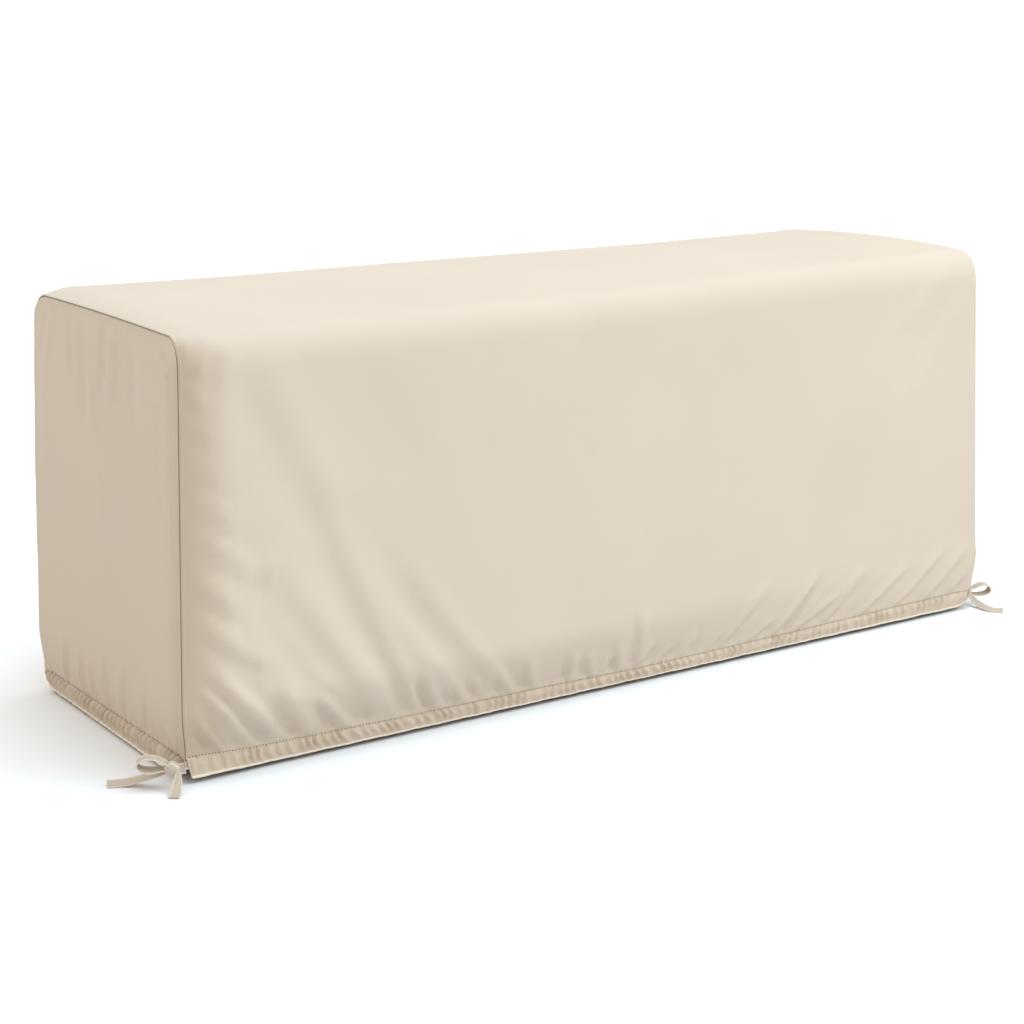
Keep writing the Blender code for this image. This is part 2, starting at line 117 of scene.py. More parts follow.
LAP = 0.0008  # how deep the wall's and the casing's edges dive under each other at the stitches

# The creases' ends.
CREASE_HEAD = 0.35  # share of a crease's length over which it fades at its head
CREASE_FOOT = 0.12  # the same at its foot

# Shares of the depths in the tables below.
FOLD_SHARE = 1.25  # all creases
LONG_FOLD_SHARE = 0.60  # the long creases
HEM_FOLD_SHARE = 1.15  # the short creases above the casing
BACK_FOLD_SHARE = 0.7  # the creases of the back
END_PUCKERS = 1.7  # the gathers of the ends

# Fineness of the surfaces, as numbers of rows and columns.
WRAP_COLUMNS = 396
WRAP_CROWDING = 0.18  # how much closer together the wrap's columns lie at the left
CASING_COLUMNS = {"front_casing": 1400, "back_casing": 700}
CASING_ROWS = {"front_casing": 9, "back_casing": 6}
END_COLUMNS = 170
END_CASING_COLUMNS = 480
END_CASING_ROWS = 9
ARC_ROWS_FRONT = 12
ARC_ROWS_BACK = 7
ARC_ROWS_END = 18
ARC_CROWDING = 1.4  # above 1, the rows round the top edge grow closer together upwards
TOP_ROWS = 6
FOLD_ROWS = 4  # round the casing's fold
STITCH_ROWS = (0.0, 0.0018, 0.0036, 0.0060)  # rows over the stitches' groove, above its middle, in metres
FOOT_ROWS = (0.0, 0.0012, 0.0026, 0.0044)  # rows over the foot's ridge, above the fold
WALL_LAP, CASING_LAP = 0.003, 0.0004  # how far the wall runs on below the stitches, and the casing above them
CASING_REST = (0.002, 0.0012)  # how far below the stitches its inner face and its plain outer rows end
ROLL_COLUMNS = 5  # round a seam's roll; those beside it lie at these distances from the edge, in metres
SIDE_PLACES = (0.0031, 0.0037, 0.0044, 0.0053, 0.0066, 0.0090, 0.0140, 0.0200, 0.0270, 0.0340)
END_SIDE_PLACES = SIDE_PLACES[:8]

# The finishes, with the reach of the painted shade and highlights along edges.
WEAVE_PITCH = 0.0011
WEAVE_BUMP = 0.00012
FINE_BUMP = 1.5  # height of the fine noise's bumps over the weave's
BUMP_STRENGTH = 0.35
CLOTH_ROUGHNESS = (0.57, 0.67)  # where the slow noise is low and high
CLOTH_FINISH = {"Sheen Weight": 0.05, "Sheen Roughness": 0.45, "Specular IOR Level": 0.20}
CLOTH_TINTS = (0.965, 1.03)  # darkest and palest, as shares of the colour
PLAIN_TINTS = (0.96, 1.02)
TINT_WEIGHTS = (0.72, 0.22, 0.04)  # of the slow noise, the fine noise and the weave
SLOW_NOISE = (3.0, 4.0)  # its scale and detail
FINE_NOISE = (420.0, 2.0)
NOISE_RANGE = (0.30, 0.70)  # the part of a noise's values that is used
SEAM_SHADE_REACH = (0.0001, 0.0006)  # distance from a seam up to which its painted shade is full, and where that ends
CASING_FOOT_HIGHLIGHT = (0.0028, 0.0052)  # height above the foot's fold up to which its painted highlight is full, and where that ends
TAPE_EDGE_HIGHLIGHT = (0.0022, 0.0034)  # the same from the edges of the tape

# The camera, as it stood for the photograph.
CAMERA_PLACE = (-2.811, -4.036, 1.565)  # its height is above the floor
CAMERA_DOWN = 14.14  # degrees below level
CAMERA_YAW = 34.30
CAMERA_FOCAL = 2214.0 / 1024.0  # focal length over the width of the picture
SENSOR_WIDTH = 36.0  # millimetres
FLOOR_REACH = 160.0

# A crease of the front wall: with a positive depth its upper side stands out over its lower side, so that
# it reads as a dark line; with a negative one its lower side stands out. Its ends as x and height, its half
# width at the head and the foot, its depth, and how far its middle bows to the upper side, in millimetres.
Crease = namedtuple("Crease", "x_head head x_foot foot width_head width_foot depth bow", defaults=(0.0,))


def in_metres(kind, *rows):
    """A table whose rows are of the kind given, from rows in millimetres."""
    return tuple(kind(*(0.001 * value for value in row)) for row in rows)


LONG_CREASES = in_metres(
    Crease,
    (-930, 480, -622, 40, 28, 14, 4.6, -3),
    (-810, 640, -535, 40, 28, 13, 4.6, -20),
    (-620, 430, -295, 40, 28, 12, 4.6, -23),
    (-985, 420, -732, 40, 32, 11, -3.6, -6),
    (-845, 520, -548, 40, 34, 12, -4, -24),
    (-700, 500, -372, 40, 34, 12, -4, -36),
    (-925, 870, -735, 480, 40, 40, 6.8, -12),
    (-640, 830, -500, 560, 40, 40, 1.8, -10),
    (1035, 850, 800, 560, 22, 26, -3.4),
    (935, 880, 790, 730, 18, 20, -2),
)
SEAM_CREASES = in_metres(
    Crease,
    (-1040, 598, -950, 535, 10, 16, -2.2),
    (-1050, 570, -945, 492, 11, 16, 2.4),
    (-1035, 548, -900, 410, 10, 20, -2.6),
    (-1052, 490, -870, 385, 12, 18, 2.8),
    (-1040, 438, -955, 392, 10, 16, -2.2),
    (-1052, 410, -960, 330, 12, 15, 2.8),
    (-1040, 370, -940, 285, 10, 16, -2.4),
    (-1052, 320, -900, 215, 12, 14, 3),
    (-1035, 285, -805, 40, 14, 10, -3.2, -4),
    (-1045, 245, -853, 40, 12, 11, 3.6),
    (-1045, 222, -880, 40, 10, 9, -3),
    (-1050, 205, -918, 40, 10, 10, 3.6),
    (-1052, 160, -958, 40, 9, 7, -2.8, -1),
    (-1052, 130, -975, 40, 8, 8, 3),
    (-1050, 105, -1005, 40, 7, 6, -1.8),
    (-1005, 875, -1058, 785, 14, 12, 5.6),
    (-985, 860, -1008, 760, 16, 18, 4.2),
    (-1000, 815, -1060, 788, 9, 9, 5, 8),
    (-1058, 775, -1005, 735, 10, 10, 2.8),
    (-1058, 712, -990, 675, 10, 10, 2.4),
    (-1058, 640, -980, 590, 10, 11, 2.6),
)
HEM_CREASES = in_metres(
    Crease,
    (-890, 185, -788, 40, 14, 12, 4),
    (-815, 175, -655, 40, 12, 10, -2.6),
    (-792, 145, -700, 40, 12, 10, 3.6),
    (-668, 88, -652, 40, 7, 7, -1.8),
    (-575, 140, -500, 40, 10, 8, -2.6),
    (-552, 150, -483, 40, 12, 9, 3.4),
    (-490, 100, -455, 40, 7, 7, -1.8),
    (-462, 110, -420, 40, 9, 9, 2.6),
    (-425, 115, -360, 40, 9, 9, 2.6),
    (-372, 115, -322, 40, 8, 7, -2),
    (-360, 140, -262, 40, 11, 9, -2.6),
    (-290, 135, -238, 40, 12, 10, 3.4),
    (-165, 125, -145, 40, 12, 9, 3.6),
    (-125, 115, -82, 40, 11, 9, 3.4),
    (-45, 125, -8, 40, 11, 9, 3.4),
    (-25, 105, -58, 40, 9, 8, 2.4),
    (10, 190, 35, 55, 14, 10, 2.4),
    (80, 110, 40, 40, 10, 8, 3.4),
    (135, 90, 92, 40, 8, 7, 2.6),
    (170, 95, 130, 40, 7, 6, -2),
    (205, 110, 165, 40, 10, 8, 2.8),
    (275, 90, 235, 40, 8, 7, 2.8),
    (415, 180, 262, 40, 16, 8, 3.8),
    (440, 95, 345, 40, 9, 7, 2.8),
    (575, 185, 425, 40, 12, 8, 4.6),
    (560, 145, 455, 40, 10, 7, -2.6),
    (650, 125, 480, 40, 9, 7, 3.4),
    (715, 170, 585, 45, 14, 10, 3),
    (845, 150, 690, 40, 10, 7, 4),
    (965, 175, 800, 40, 12, 8, 4.2),
    (1050, 175, 895, 40, 12, 8, 4.4),
    (1060, 118, 975, 40, 9, 7, 3.4),
)

# Creases of an end panel, by their place across it (the front is negative).
END_CREASES = in_metres(
    Crease,
    (-165, 870, -175, 660, 20, 22, 3),
    (-70, 880, -60, 700, 14, 18, 3.6),
    (0, 880, -6, 740, 12, 16, -3),
    (70, 880, 58, 640, 16, 20, 3.6),
    (130, 880, 120, 720, 14, 18, 3.2),
    (240, 880, 280, 740, 14, 16, -3),
    (-335, 800, -265, 840, 9, 10, 3.6, 6),
    (-335, 770, -235, 720, 12, 16, 2.6),
    (-335, 720, -240, 660, 12, 16, 1.8),
    (-335, 610, -245, 560, 12, 16, 1.6),
    (-100, 190, -50, 40, 14, 10, 3),
    (10, 180, 16, 40, 13, 10, 2.6),
    (-185, 150, -150, 40, 12, 9, 2.6),
    (80, 150, 90, 40, 12, 9, 2.4),
    (125, 160, 150, 40, 12, 9, 2.4),
    (-215, 95, -236, 40, 10, 8, 3.6),
    (-255, 110, -290, 40, 10, 8, 3.2),
    (200, 170, 240, 40, 13, 10, 2.8),
)

# Up and down shifts of the top, by place along the cover.
Shift = namedtuple("Shift", "x up")
BACK_RISE = in_metres(
    Shift,
    (-1040, 4), (-980, 8.5), (-880, 6.5), (-560, 3), (-200, 2), (800, -9.5), (940, -12), (1060, -8),
)
TOP_ARCH = in_metres(
    Shift,
    (-1040, 4), (-800, 1), (600, 1), (1040, 14),
)
# How much higher than level the stitches of the front casing run.
CASING_DIP = in_metres(
    Shift,
    (-1050, 7), (-920, -2), (-580, -8), (-200, -11), (40, -15), (510, -10.5), (770, -5), (1000, -2),
)
CASING_DIP_REACH = 0.120  # height above the stitches over which this fades

# How much further out than their plain lines the left end's back corner and the whole right end stand.
Reach = namedtuple("Reach", "height out")
LEFT_BACK_REACH = in_metres(
    Reach,
    (10, -10), (50, -1.5), (134, -4.5), (268, -3), (400, 0.5), (540, 3.2),
)
RIGHT_REACH = in_metres(
    Reach,
    (50, 14.8), (110, 11.2), (180, 6.5), (250, 5.2),
)

LEFT_REACH_FADE = (0.75, 1.00)  # distances from the cover's middle where this begins and has its full size
RIGHT_REACH_FADE = (0.50, 1.00)

# A fine unevenness along an edge: its height, its turns in radians per metre and where it starts.
Ripple = namedtuple("Ripple", "height turn start", defaults=(0.0,))
PUCKER_DRIFT = Ripple(0.0035, 9.0)  # these four shift the gathers along the casing
PUCKER_SLANT = 150.0  # radians by which the first turns on for each metre down the casing
PUCKER_SHIFTS = (Ripple(0.0052, 41.0), Ripple(0.0024, 97.0, 1.0))
PUCKER_JITTER = Ripple(0.0008, 213.0, 2.0)
PUCKER_LEAN = 0.42  # how far the gathers at the corners lean, along for each metre down
PUCKER_LEAN_REACH = 0.45  # share of the length over which this grows from the middle
PUCKER_POWER = 1.3  # above 1, round ridges and wider hollows
PUCKER_LEVEL = 0.50  # where the plain casing lies between hollows and ridges
PUCKER_STRENGTH = 0.88  # mean share of the depth, and the two ways in which it varies
PUCKER_SWELLS = (Ripple(0.20, 7.3, 0.6), Ripple(0.16, 61.0))
PUCKER_SWELL_BEAT = 23.0
PUCKER_AT_STITCHES = 0.30  # share of the depth there, and the distance below them over which it grows
PUCKER_GROWTH = 0.006
PUCKER_AT_FOOT = 0.12  # share of the depth there, and the distances below the stitches of the change
PUCKER_SHRINK = (0.016, 0.037)
STITCH_REACH = 0.016  # height above the stitches over which they hold the cloth
STITCH_HOLD = 0.25  # share of a fold's depth that they let through
HEM_WAVES = (Ripple(0.0004, 57.0, 0.4), Ripple(0.0002, 149.0))  # of the casing's foot
SEAM_RIPPLE = 0.0006  # height of the ripples beside a seam, their pitch, and where they begin and end
SEAM_RIPPLE_PITCH = 0.021
SEAM_RIPPLE_REACH = (0.004, 0.030)
SEAM_RIPPLE_DRIFT = Ripple(1.5, 31.0)  # in radians
SEAM_RIPPLE_BEAT = Ripple(0.4, 17.0, 2.0)  # as a share of their height


def clamp(t):
    """t, or 0 or 1 where it lies outside them."""
    return np.clip(t, 0.0, 1.0)


def smooth(t):
    """Soft step: 3t² - 2t³ between 0 and 1."""
    t = clamp(t)
    return t * t * (3.0 - 2.0 * t)


def step_between(t, start, end):
    """Soft step from 0 at the start to 1 at the end."""
    return smooth((t - start) / (end - start))


def bell(t, middle, width):
    """1 at the middle, falling to both sides as exp(-u²), with u the distance over the width."""
    return np.exp(-(((t - middle) / width) ** 2))


def ripple(wave, at, shift=0.0):
    """A sine of the wave's height."""
    return wave.height * np.sin(wave.turn * at + wave.start + shift)


def read_table(table, at):
    """The second column of a table at places of its first, in straight lines between the rows."""
    rows = np.array(table)
    return np.interp(at, rows[:, 0], rows[:, 1])


def metres(name, description, default):
    """A size that a user may change."""
    return bpy.props.FloatProperty(name=name, description=description, default=default, unit="LENGTH")


def colour(name, description, *default):
    """A colour that a user may change."""
    return bpy.props.FloatVectorProperty(
        name=name, description=description, subtype="COLOR", size=3, default=default, min=0.0, max=1.0
    )


class CoverSizes(bpy.types.PropertyGroup):
    """Sizes of the cover."""

    height: metres("Height", "Top face above the floor", 0.885)
    length: metres("Length", "Length of the top between its end seams", 2.084)
    depth: metres("Depth", "Depth of the top from front to back", 0.680)
    flare_length: metres("End flare", "How much further out each end is at the floor", 0.032)
    flare_depth: metres("Front flare", "How much further out the front and back are at the floor", 0.022)
    radius: metres("Top edge radius", "Rounding of the front and back top edges", 0.072)
    radius_depth: metres("Front edge depth", "How far back the rounding of the front top edge reaches", 0.034)
    radius_right: metres("Front edge depth, right", "The same at the right end, where it is rounder", 0.056)
    cloth: metres("Cloth", "Thickness of the cloth", 0.0010)
    floor_gap: metres("Floor gap", "Foot of the cover above the floor", 0.009)
    casing: metres("Casing", "Width of the stitched casing", 0.042)
    hem_draw: metres("Hem draw", "How far the tape draws each wall in", 0.011)
    pucker_depth: metres("Pucker depth", "Depth of the gathers of the casing", 0.0088)
    pucker_pitch: metres("Pucker pitch", "Mean distance between gathers", 0.0215)
    stitch_pitch: metres("Stitch pitch", "Distance between stitches", 0.0074)
    tape_width: metres("Tape width", "Width of the tying tape", 0.022)


class CoverColours(bpy.types.PropertyGroup):
    """Colours of the cover and its surroundings."""

    cloth: colour("Cloth", "Colour of the cloth", 0.522, 0.440, 0.356)
    # Painted shade: a darker colour in a strip beside the front seam.
    painted_strip_shade: colour("Allowance", "Front over the seam's folded-in cloth", 0.425, 0.342, 0.250)
    # Painted shade: the end panels get a darker copy of the cloth's colour, for the shade on the cover's
    # ends.
    end_cloth: colour("End cloth", "The end panels, cut across the cloth", 0.503, 0.412, 0.322)
    # Painted shade: the same darker strip beside the end panels' front seams.
    end_painted_strip_shade: colour("End allowance", "End panels over the seam's folded-in cloth", 0.455, 0.366, 0.272)
    # Painted shade: the casing's colour is the cloth's darkened, for the shade in its dense gathers.
    casing: colour("Casing", "The doubled cloth of the casing", 0.512, 0.422, 0.326)
    # Painted highlight: a pale line along the casing's foot.
    casing_foot_highlight: colour("Casing edge", "The casing's fold along its foot", 0.800, 0.700, 0.580)
    # Painted shade: a dark line at the bottom of the seams.
    seam: colour("Seam", "Bottom of the seams", 0.200, 0.145, 0.085)
    thread: colour("Thread", "The sewing thread", 0.175, 0.130, 0.085)
    tape: colour("Tape", "The tying tape", 0.440, 0.372, 0.290)
    # Painted highlight: a pale colour along the tape's edges and round the knot's rim.
    tape_edge_highlight: colour("Tape edge", "The tape's folded edges", 0.560, 0.480, 0.390)
    floor: colour("Floor", "The floor", 0.750, 0.750, 0.750)


class Cover:
    """The cover's sizes as plain numbers, and the heights that follow from them."""

    def __init__(self, sizes):
        for name in sizes.bl_rna.properties.keys():
            if name not in ("rna_type", "name"):
                setattr(self, name, round(float(getattr(sizes, name)), 6))
        self.floor = self.height - 0.002  # depth below the origin, which lies under cloth 2 mm thick
        self.wall_top = self.height - self.radius
        self.hem_top = self.floor_gap + self.casing

    def down_casing(self, height):
        """Share of the way from the stitches down to the foot."""
        return clamp((self.hem_top - height) / self.casing)

    def stand_out(self, height, flare, tuck):
        """A steady flare to the floor, less the hem's draw and tuck."""
        flared = flare * (1.0 - clamp(height / self.wall_top))
        drawn = self.hem_draw * (1.0 - smooth((height - self.hem_top) / HEM_DRAW_REACH))
        tucked = tuck * self.down_casing(height) ** 2
        return flared - drawn - tucked

    def half_length(self, height):
        return self.length / 2 + self.stand_out(height, self.flare_length, HEM_TUCK_LENGTH)

    def half_depth(self, height):
        return self.depth / 2 + self.stand_out(height, self.flare_depth, HEM_TUCK_DEPTH)

    def back_rise(self, x, y, height):
        """Shift of the back top edge, faded towards the front and down to half the wall's height."""
        fade = smooth(0.5 + y / self.depth) * smooth(2.0 * height / self.wall_top - 1.0)
        return read_table(BACK_RISE, x) * fade

    def reach(self, x, y, height):
        """Sideways shift of the left end's back corner and of the right end, read from their tables."""
        at_left = step_between(-x, *LEFT_REACH_FADE) * smooth(0.5 + y / self.depth)
        at_right = step_between(x, *RIGHT_REACH_FADE)
        return at_right * read_table(RIGHT_REACH, height) - at_left * read_table(LEFT_BACK_REACH, height)

    def top_arch(self, x, y, height):
        """Shift of the top's middle: a parabola from its front edge to its back edge."""
        across = clamp(1.0 - (2.0 * y / self.depth) ** 2)
        return read_table(TOP_ARCH, x) * across * smooth((height - self.wall_top) / self.radius)


def crease_relief(along, height, creases):
    """Sum of creases. Across its bowed line each is u·exp((1 - u²) / 2), with u the distance from the line
    over the half width, so that one side stands out and the other sinks, and it fades at both ends."""
    relief = np.zeros(np.broadcast(along, height).shape)
    for c in creases:
        line = np.array((c.x_foot - c.x_head, c.foot - c.head))
        length = np.hypot(*line)
        way = line / length
        t = ((along - c.x_head) * way[0] + (height - c.head) * way[1]) / length
        upper = 1.0 if (way[0] < 0) != (way[1] > 0) else -1.0
        aside = upper * ((along - c.x_head) * way[1] - (height - c.head) * way[0])
        aside = aside - c.bow * 4.0 * t * (1.0 - t)
        width = c.width_head + (c.width_foot - c.width_head) * clamp(t)
        u = aside / width
        fade = smooth(t / CREASE_HEAD) * smooth((1.0 - t) / CREASE_FOOT)
        relief = relief + c.depth * u * np.exp(0.5 - 0.5 * u * u) * fade
    return FOLD_SHARE * relief


def pucker_relief(cover, along, height):
    """Gathers of the casing: round ridges, a raised sine to a power, whose phase runs unevenly and leans with
    height. The stitches hold them nearly flat, and above the stitches and to the foot they fade."""
    down = np.maximum(cover.hem_top - height, 0.0)
    lean = PUCKER_LEAN * np.clip(along / (PUCKER_LEAN_REACH * cover.length), -1.0, 1.0)
    place = along + lean * down + ripple(PUCKER_DRIFT, along, PUCKER_SLANT * down)
    place = place + sum(ripple(wave, place) for wave in PUCKER_SHIFTS)
    place = place + ripple(PUCKER_JITTER, place)
    puff = (0.5 + 0.5 * np.sin(2 * math.pi * place / cover.pucker_pitch)) ** PUCKER_POWER
    slow, quick = (ripple(wave, along) for wave in PUCKER_SWELLS)
    strength = PUCKER_STRENGTH + slow * np.sin(PUCKER_SWELL_BEAT * along) + quick
    grown = PUCKER_AT_STITCHES + (1.0 - PUCKER_AT_STITCHES) * smooth(down / PUCKER_GROWTH)
    shrunk = 1.0 - (1.0 - PUCKER_AT_FOOT) * step_between(down, *PUCKER_SHRINK)
    above = 1.0 - smooth((height - cover.hem_top) / STITCH_REACH)
    return cover.pucker_depth * strength * (puff - PUCKER_LEVEL) * grown * shrunk * above


def stitch_groove(cover, height, inside):
    """Channel that the stitches pull into the cloth, a narrow bell at the top of the casing, and the slopes
    by which the wall above and the casing below run into it; both grow away from the seams."""
    above = height - cover.hem_top
    slope = PINCH * (1.0 - smooth(above / PINCH_REACH)) * (1.0 - smooth(-above / PINCH_BELOW))
    slope = slope * smooth(inside / PINCH_CALM)
    return -STITCH_GROOVE * bell(above, 0.0, STITCH_GROOVE_WIDTH) - slope


def hem_bead(cover, height):
    """Ridge of the thick fold along the foot, a narrow bell."""
    return HEM_BEAD * bell(height, cover.floor_gap + 2 * HEM_ROLL, HEM_BEAD_WIDTH)


def hem_hold(cover, height):
    """Share of a fold's depth that the stitches let through: all of it well above them, a part below."""
    return STITCH_HOLD + (1.0 - STITCH_HOLD) * smooth((height - cover.hem_top) / STITCH_REACH)


def seam_puckers(along_seam, inside):
    """Fine ripples that the sewing thread pulls into the cloth beside a seam."""
    wave = np.sin(2 * math.pi * along_seam / SEAM_RIPPLE_PITCH + ripple(SEAM_RIPPLE_DRIFT, along_seam))
    beat = 1.0 - SEAM_RIPPLE_BEAT.height + ripple(SEAM_RIPPLE_BEAT, along_seam)
    begin, end = SEAM_RIPPLE_REACH
    return SEAM_RIPPLE * wave * beat * smooth(inside / begin) * (1.0 - smooth(inside / end))


def seam_turn(inside):
    """How far a cloth's edge has turned in: a quarter circle of the seam's roll, less the ridge beside it."""
    rest = SEAM_ROLL - np.clip(inside, 0.0, SEAM_ROLL)
    ridge = SEAM_BEAD * bell(inside, SEAM_BEAD_PLACE, SEAM_BEAD_WIDTH)
    return SEAM_ROLL - np.sqrt(SEAM_ROLL**2 - rest**2) - ridge


def graded(low, high, steps):
    """Heights from low to high whose spacing follows a table: the running sum of 1 / step, read at whole
    numbers."""
    fine = np.linspace(low, high, 801)
    pace = 1.0 / read_table(steps, fine)
    count = np.concatenate(((0.0,), np.cumsum(0.5 * (pace[1:] + pace[:-1]) * np.diff(fine))))
    return np.interp(np.linspace(0.0, count[-1], round(count[-1]) + 1), count, fine)


# How far apart the rows of a wall lie at each height above the floor.
RowStep = namedtuple("RowStep", "height step")
FRONT_STEPS = in_metres(
    RowStep,
    (55, 4.5), (130, 6.5), (250, 13), (450, 23), (620, 23), (740, 13), (813, 11),
)
END_STEPS = in_metres(
    RowStep,
    (55, 5), (150, 10), (300, 30), (620, 30), (813, 12),
)
PLAIN_STEPS = in_metres(
    RowStep,
    (55, 8), (150, 18), (400, 70), (813, 70),
)


def wall_row(cover, height, inset=0.0):
    """A row of the section on the front wall, on its face or a little inside it."""
    return inset - cover.half_depth(height), height, -1.0, 0.0, height


def wall_section(cover, steps, arc_rows, deep):
    """Half of the cover's section above the casing, as rows of y, height, outward y, outward up, and the
    height at which the relief is read: up the wall and round the top edge, a quarter of an ellipse whose
    angle steps grow finer upwards. The first row dives under the casing."""
    groove = cover.hem_top + np.array(STITCH_ROWS)
    rows = [wall_row(cover, cover.hem_top - WALL_LAP, LAP)]
    for height in np.concatenate((groove[:-1], graded(groove[-1], cover.wall_top, steps))):
        rows.append(wall_row(cover, height))
    for angle in 0.5 * math.pi * (1.0 - (1.0 - np.linspace(0, 1, arc_rows + 1)[1:]) ** ARC_CROWDING):
        y = deep * (1.0 - math.cos(angle)) - cover.depth / 2
        height = cover.wall_top + cover.radius * math.sin(angle)
        out_y, out_up = -cover.radius * math.cos(angle), deep * math.sin(angle)
        size = math.hypot(out_y, out_up)
        rows.append((y, height, out_y / size, out_up / size, height))
    return np.array(rows)


def casing_section(cover, rows_up):
    """Section of the casing, as the same columns: up the inside of the turned cloth, round its fold and up
    its outside to the stitches, where the last row dives under the wall."""
    foot = cover.floor_gap + HEM_ROLL
    inner_top, outer_top = (cover.hem_top - rest for rest in CASING_REST)
    rows = [wall_row(cover, height, 2 * HEM_ROLL) for height in np.linspace(inner_top, foot, 3)]
    for angle in np.linspace(math.pi, 0.0, FOLD_ROWS + 2)[1:-1]:
        y = HEM_ROLL * (1.0 - math.cos(angle)) - cover.half_depth(foot)
        rows.append((y, foot - HEM_ROLL * math.sin(angle), -1.0, 0.0, foot))
    ridge = foot + np.array(FOOT_ROWS)
    for height in np.concatenate((ridge[:-1], np.linspace(ridge[-1], outer_top, rows_up))):
        rows.append(wall_row(cover, height))
    rows.append(wall_row(cover, cover.hem_top + CASING_LAP, LAP))
    return np.array(rows)


MIRROR = np.array((-1.0, 1.0, -1.0, 1.0, 1.0))  # turns rows of the front's section into the back's


def grid_faces(rows, columns):
    """Quads of a grid of rows by columns, as one array of vertex numbers."""
    corner = np.arange((rows - 1) * columns).reshape(rows - 1, columns)[:, :-1]
    return np.stack((corner, corner + 1, corner + columns + 1, corner + columns), -1).reshape(-1, 4)


def ring_faces(rings, sides):
    """Quads between rings of vertices, each ring closed on itself."""
    here = np.arange(rings - 1)[:, None] * sides + np.arange(sides)
    ahead = np.roll(here, -1, axis=1)
    return np.stack((here, here + sides, ahead + sides, ahead), -1).reshape(-1, 4)


def mesh_object(name, points, quads, material, flat_places=None, from_seam=None):
    """A smooth mesh from arrays of points and quads, with the cloth's flat places in metres as its UV map
    and, as an attribute, each point's distance from the nearest seam. On a casing this is its height above
    the fold, and on a tape or a knot the distance from the tape's edge."""
    mesh = bpy.data.meshes.new(name)
    mesh.vertices.add(len(points))
    mesh.vertices.foreach_set("co", points.astype(np.float32).ravel())
    mesh.loops.add(quads.size)
    mesh.loops.foreach_set("vertex_index", quads.astype(np.int32).ravel())
    mesh.polygons.add(len(quads))
    mesh.polygons.foreach_set("loop_start", np.arange(0, quads.size, 4, dtype=np.int32))
    mesh.update(calc_edges=True)
    if flat_places is not None:
        layer = mesh.uv_layers.new(name="FlatMetres")
        layer.data.foreach_set("uv", flat_places[quads.ravel()].astype(np.float32).ravel())
    if from_seam is not None:
        layer = mesh.attributes.new("from_seam", "FLOAT", "POINT")
        layer.data.foreach_set("value", from_seam.astype(np.float32).ravel())
    mesh.materials.append(material)
    mesh.shade_smooth()
    mesh.validate()
    thing = bpy.data.objects.new(name, mesh)
    bpy.context.scene.collection.objects.link(thing)
    return thing


def add_painted_strip_shade(thing, distance):
    """Each point's distance from the front seam, which sets the painted shade in a strip beside it."""
    layer = thing.data.attributes.new("from_painted_strip_shade", "FLOAT", "POINT")
    layer.data.foreach_set("value", distance.astype(np.float32).ravel())


def give_thickness(thing, thickness):
    """The cloth's thickness, laid inwards from its outer face."""
    solid = thing.modifiers.new("Cloth thickness", "SOLIDIFY")
    solid.thickness = thickness
    solid.offset = -1.0
    return thing


def flat_lengths(points):
    """Running length along each column of a grid of points, from its first row."""
    steps = np.linalg.norm(np.diff(points, axis=0), axis=2)
    return np.concatenate((np.zeros((1, points.shape[1])), np.cumsum(steps, axis=0)))


# The wrap.


def edge_places(sides):
    """Distances of columns from a cloth's edge: round its roll, then as the table gives them."""
    return np.concatenate((SEAM_ROLL * (1.0 - np.cos(np.linspace(0.0, math.pi / 2, ROLL_COLUMNS))), sides))


def wrap_columns(cover, inner_columns, crowding):
    """Places of columns as a share of the half length: crowded on the rolled edges, and closer together at
    the left, where the folds are finest."""
    half = cover.half_length(0.0)
    edge = edge_places(SIDE_PLACES)
    u = np.linspace(0.0, 1.0, inner_columns)
    span = half - edge[-1]
    middle = -span + 2.0 * span * (u + crowding * u * (u - 1.0))
    return np.concatenate((-half + edge[:-1], middle, (half - edge[:-1])[::-1])) / half


def wrap_half(cover, height, out_y, out_up):
    """Half length of the wrap, whose edges stop a little short of the end panels on the walls."""
    inset = np.where(out_y > 0.0, WRAP_INSET_BACK, WRAP_INSET_FRONT)
    return cover.half_length(height) - inset * (1.0 - smooth(out_up))


def wrap_relief(cover, x, height, out_y, out_up):
    """Distance of the wrap from its plain section, along the section's outward direction."""
    half = wrap_half(cover, height, out_y, out_up)
    inside = half - np.abs(x)
    share = np.where(out_y > 0.0, BACK_FOLD_SHARE, 1.0)
    walls = LONG_FOLD_SHARE * crease_relief(x, height, LONG_CREASES)
    walls = walls + HEM_FOLD_SHARE * crease_relief(x, height, HEM_CREASES)
    near_seam = crease_relief(x, height, SEAM_CREASES) * step_between(inside, *SEAM_CREASE_CALM)
    calm = smooth((inside - SEAM_STRIP) / EDGE_CALM)
    over_edge = smooth(out_up)
    wall = share * (1.0 - over_edge)
    relief = wall * hem_hold(cover, height) * (walls * calm + near_seam)
    rise = clamp((half + x) / LEFT_SWELL_WIDTH)
    swell = rise * (2.0 - rise) * (1.0 - step_between(x, *LEFT_SWELL_FADE))
    relief = relief + LEFT_SWELL * wall * swell * smooth((height - cover.hem_top) / LEFT_SWELL_FOOT)
    relief = relief + pucker_relief(cover, x, height) * smooth(inside / PUCKER_CALM)
    relief = relief + stitch_groove(cover, height, inside) + hem_bead(cover, height)
    relief = relief + seam_puckers(height, inside) * (1.0 - out_up)
    relief = relief - TOP_SAG * over_edge * (1.0 - (x / cover.half_length(height)) ** 2) * calm
    edge_roll = EDGE_ROLL + (EDGE_ROLL_TOP - EDGE_ROLL) * over_edge
    width = EDGE_ROLL_WIDTH + (EDGE_ROLL_TOP_WIDTH - EDGE_ROLL_WIDTH) * over_edge
    return relief - edge_roll * clamp(1.0 - inside / width) ** 2 - seam_turn(inside)


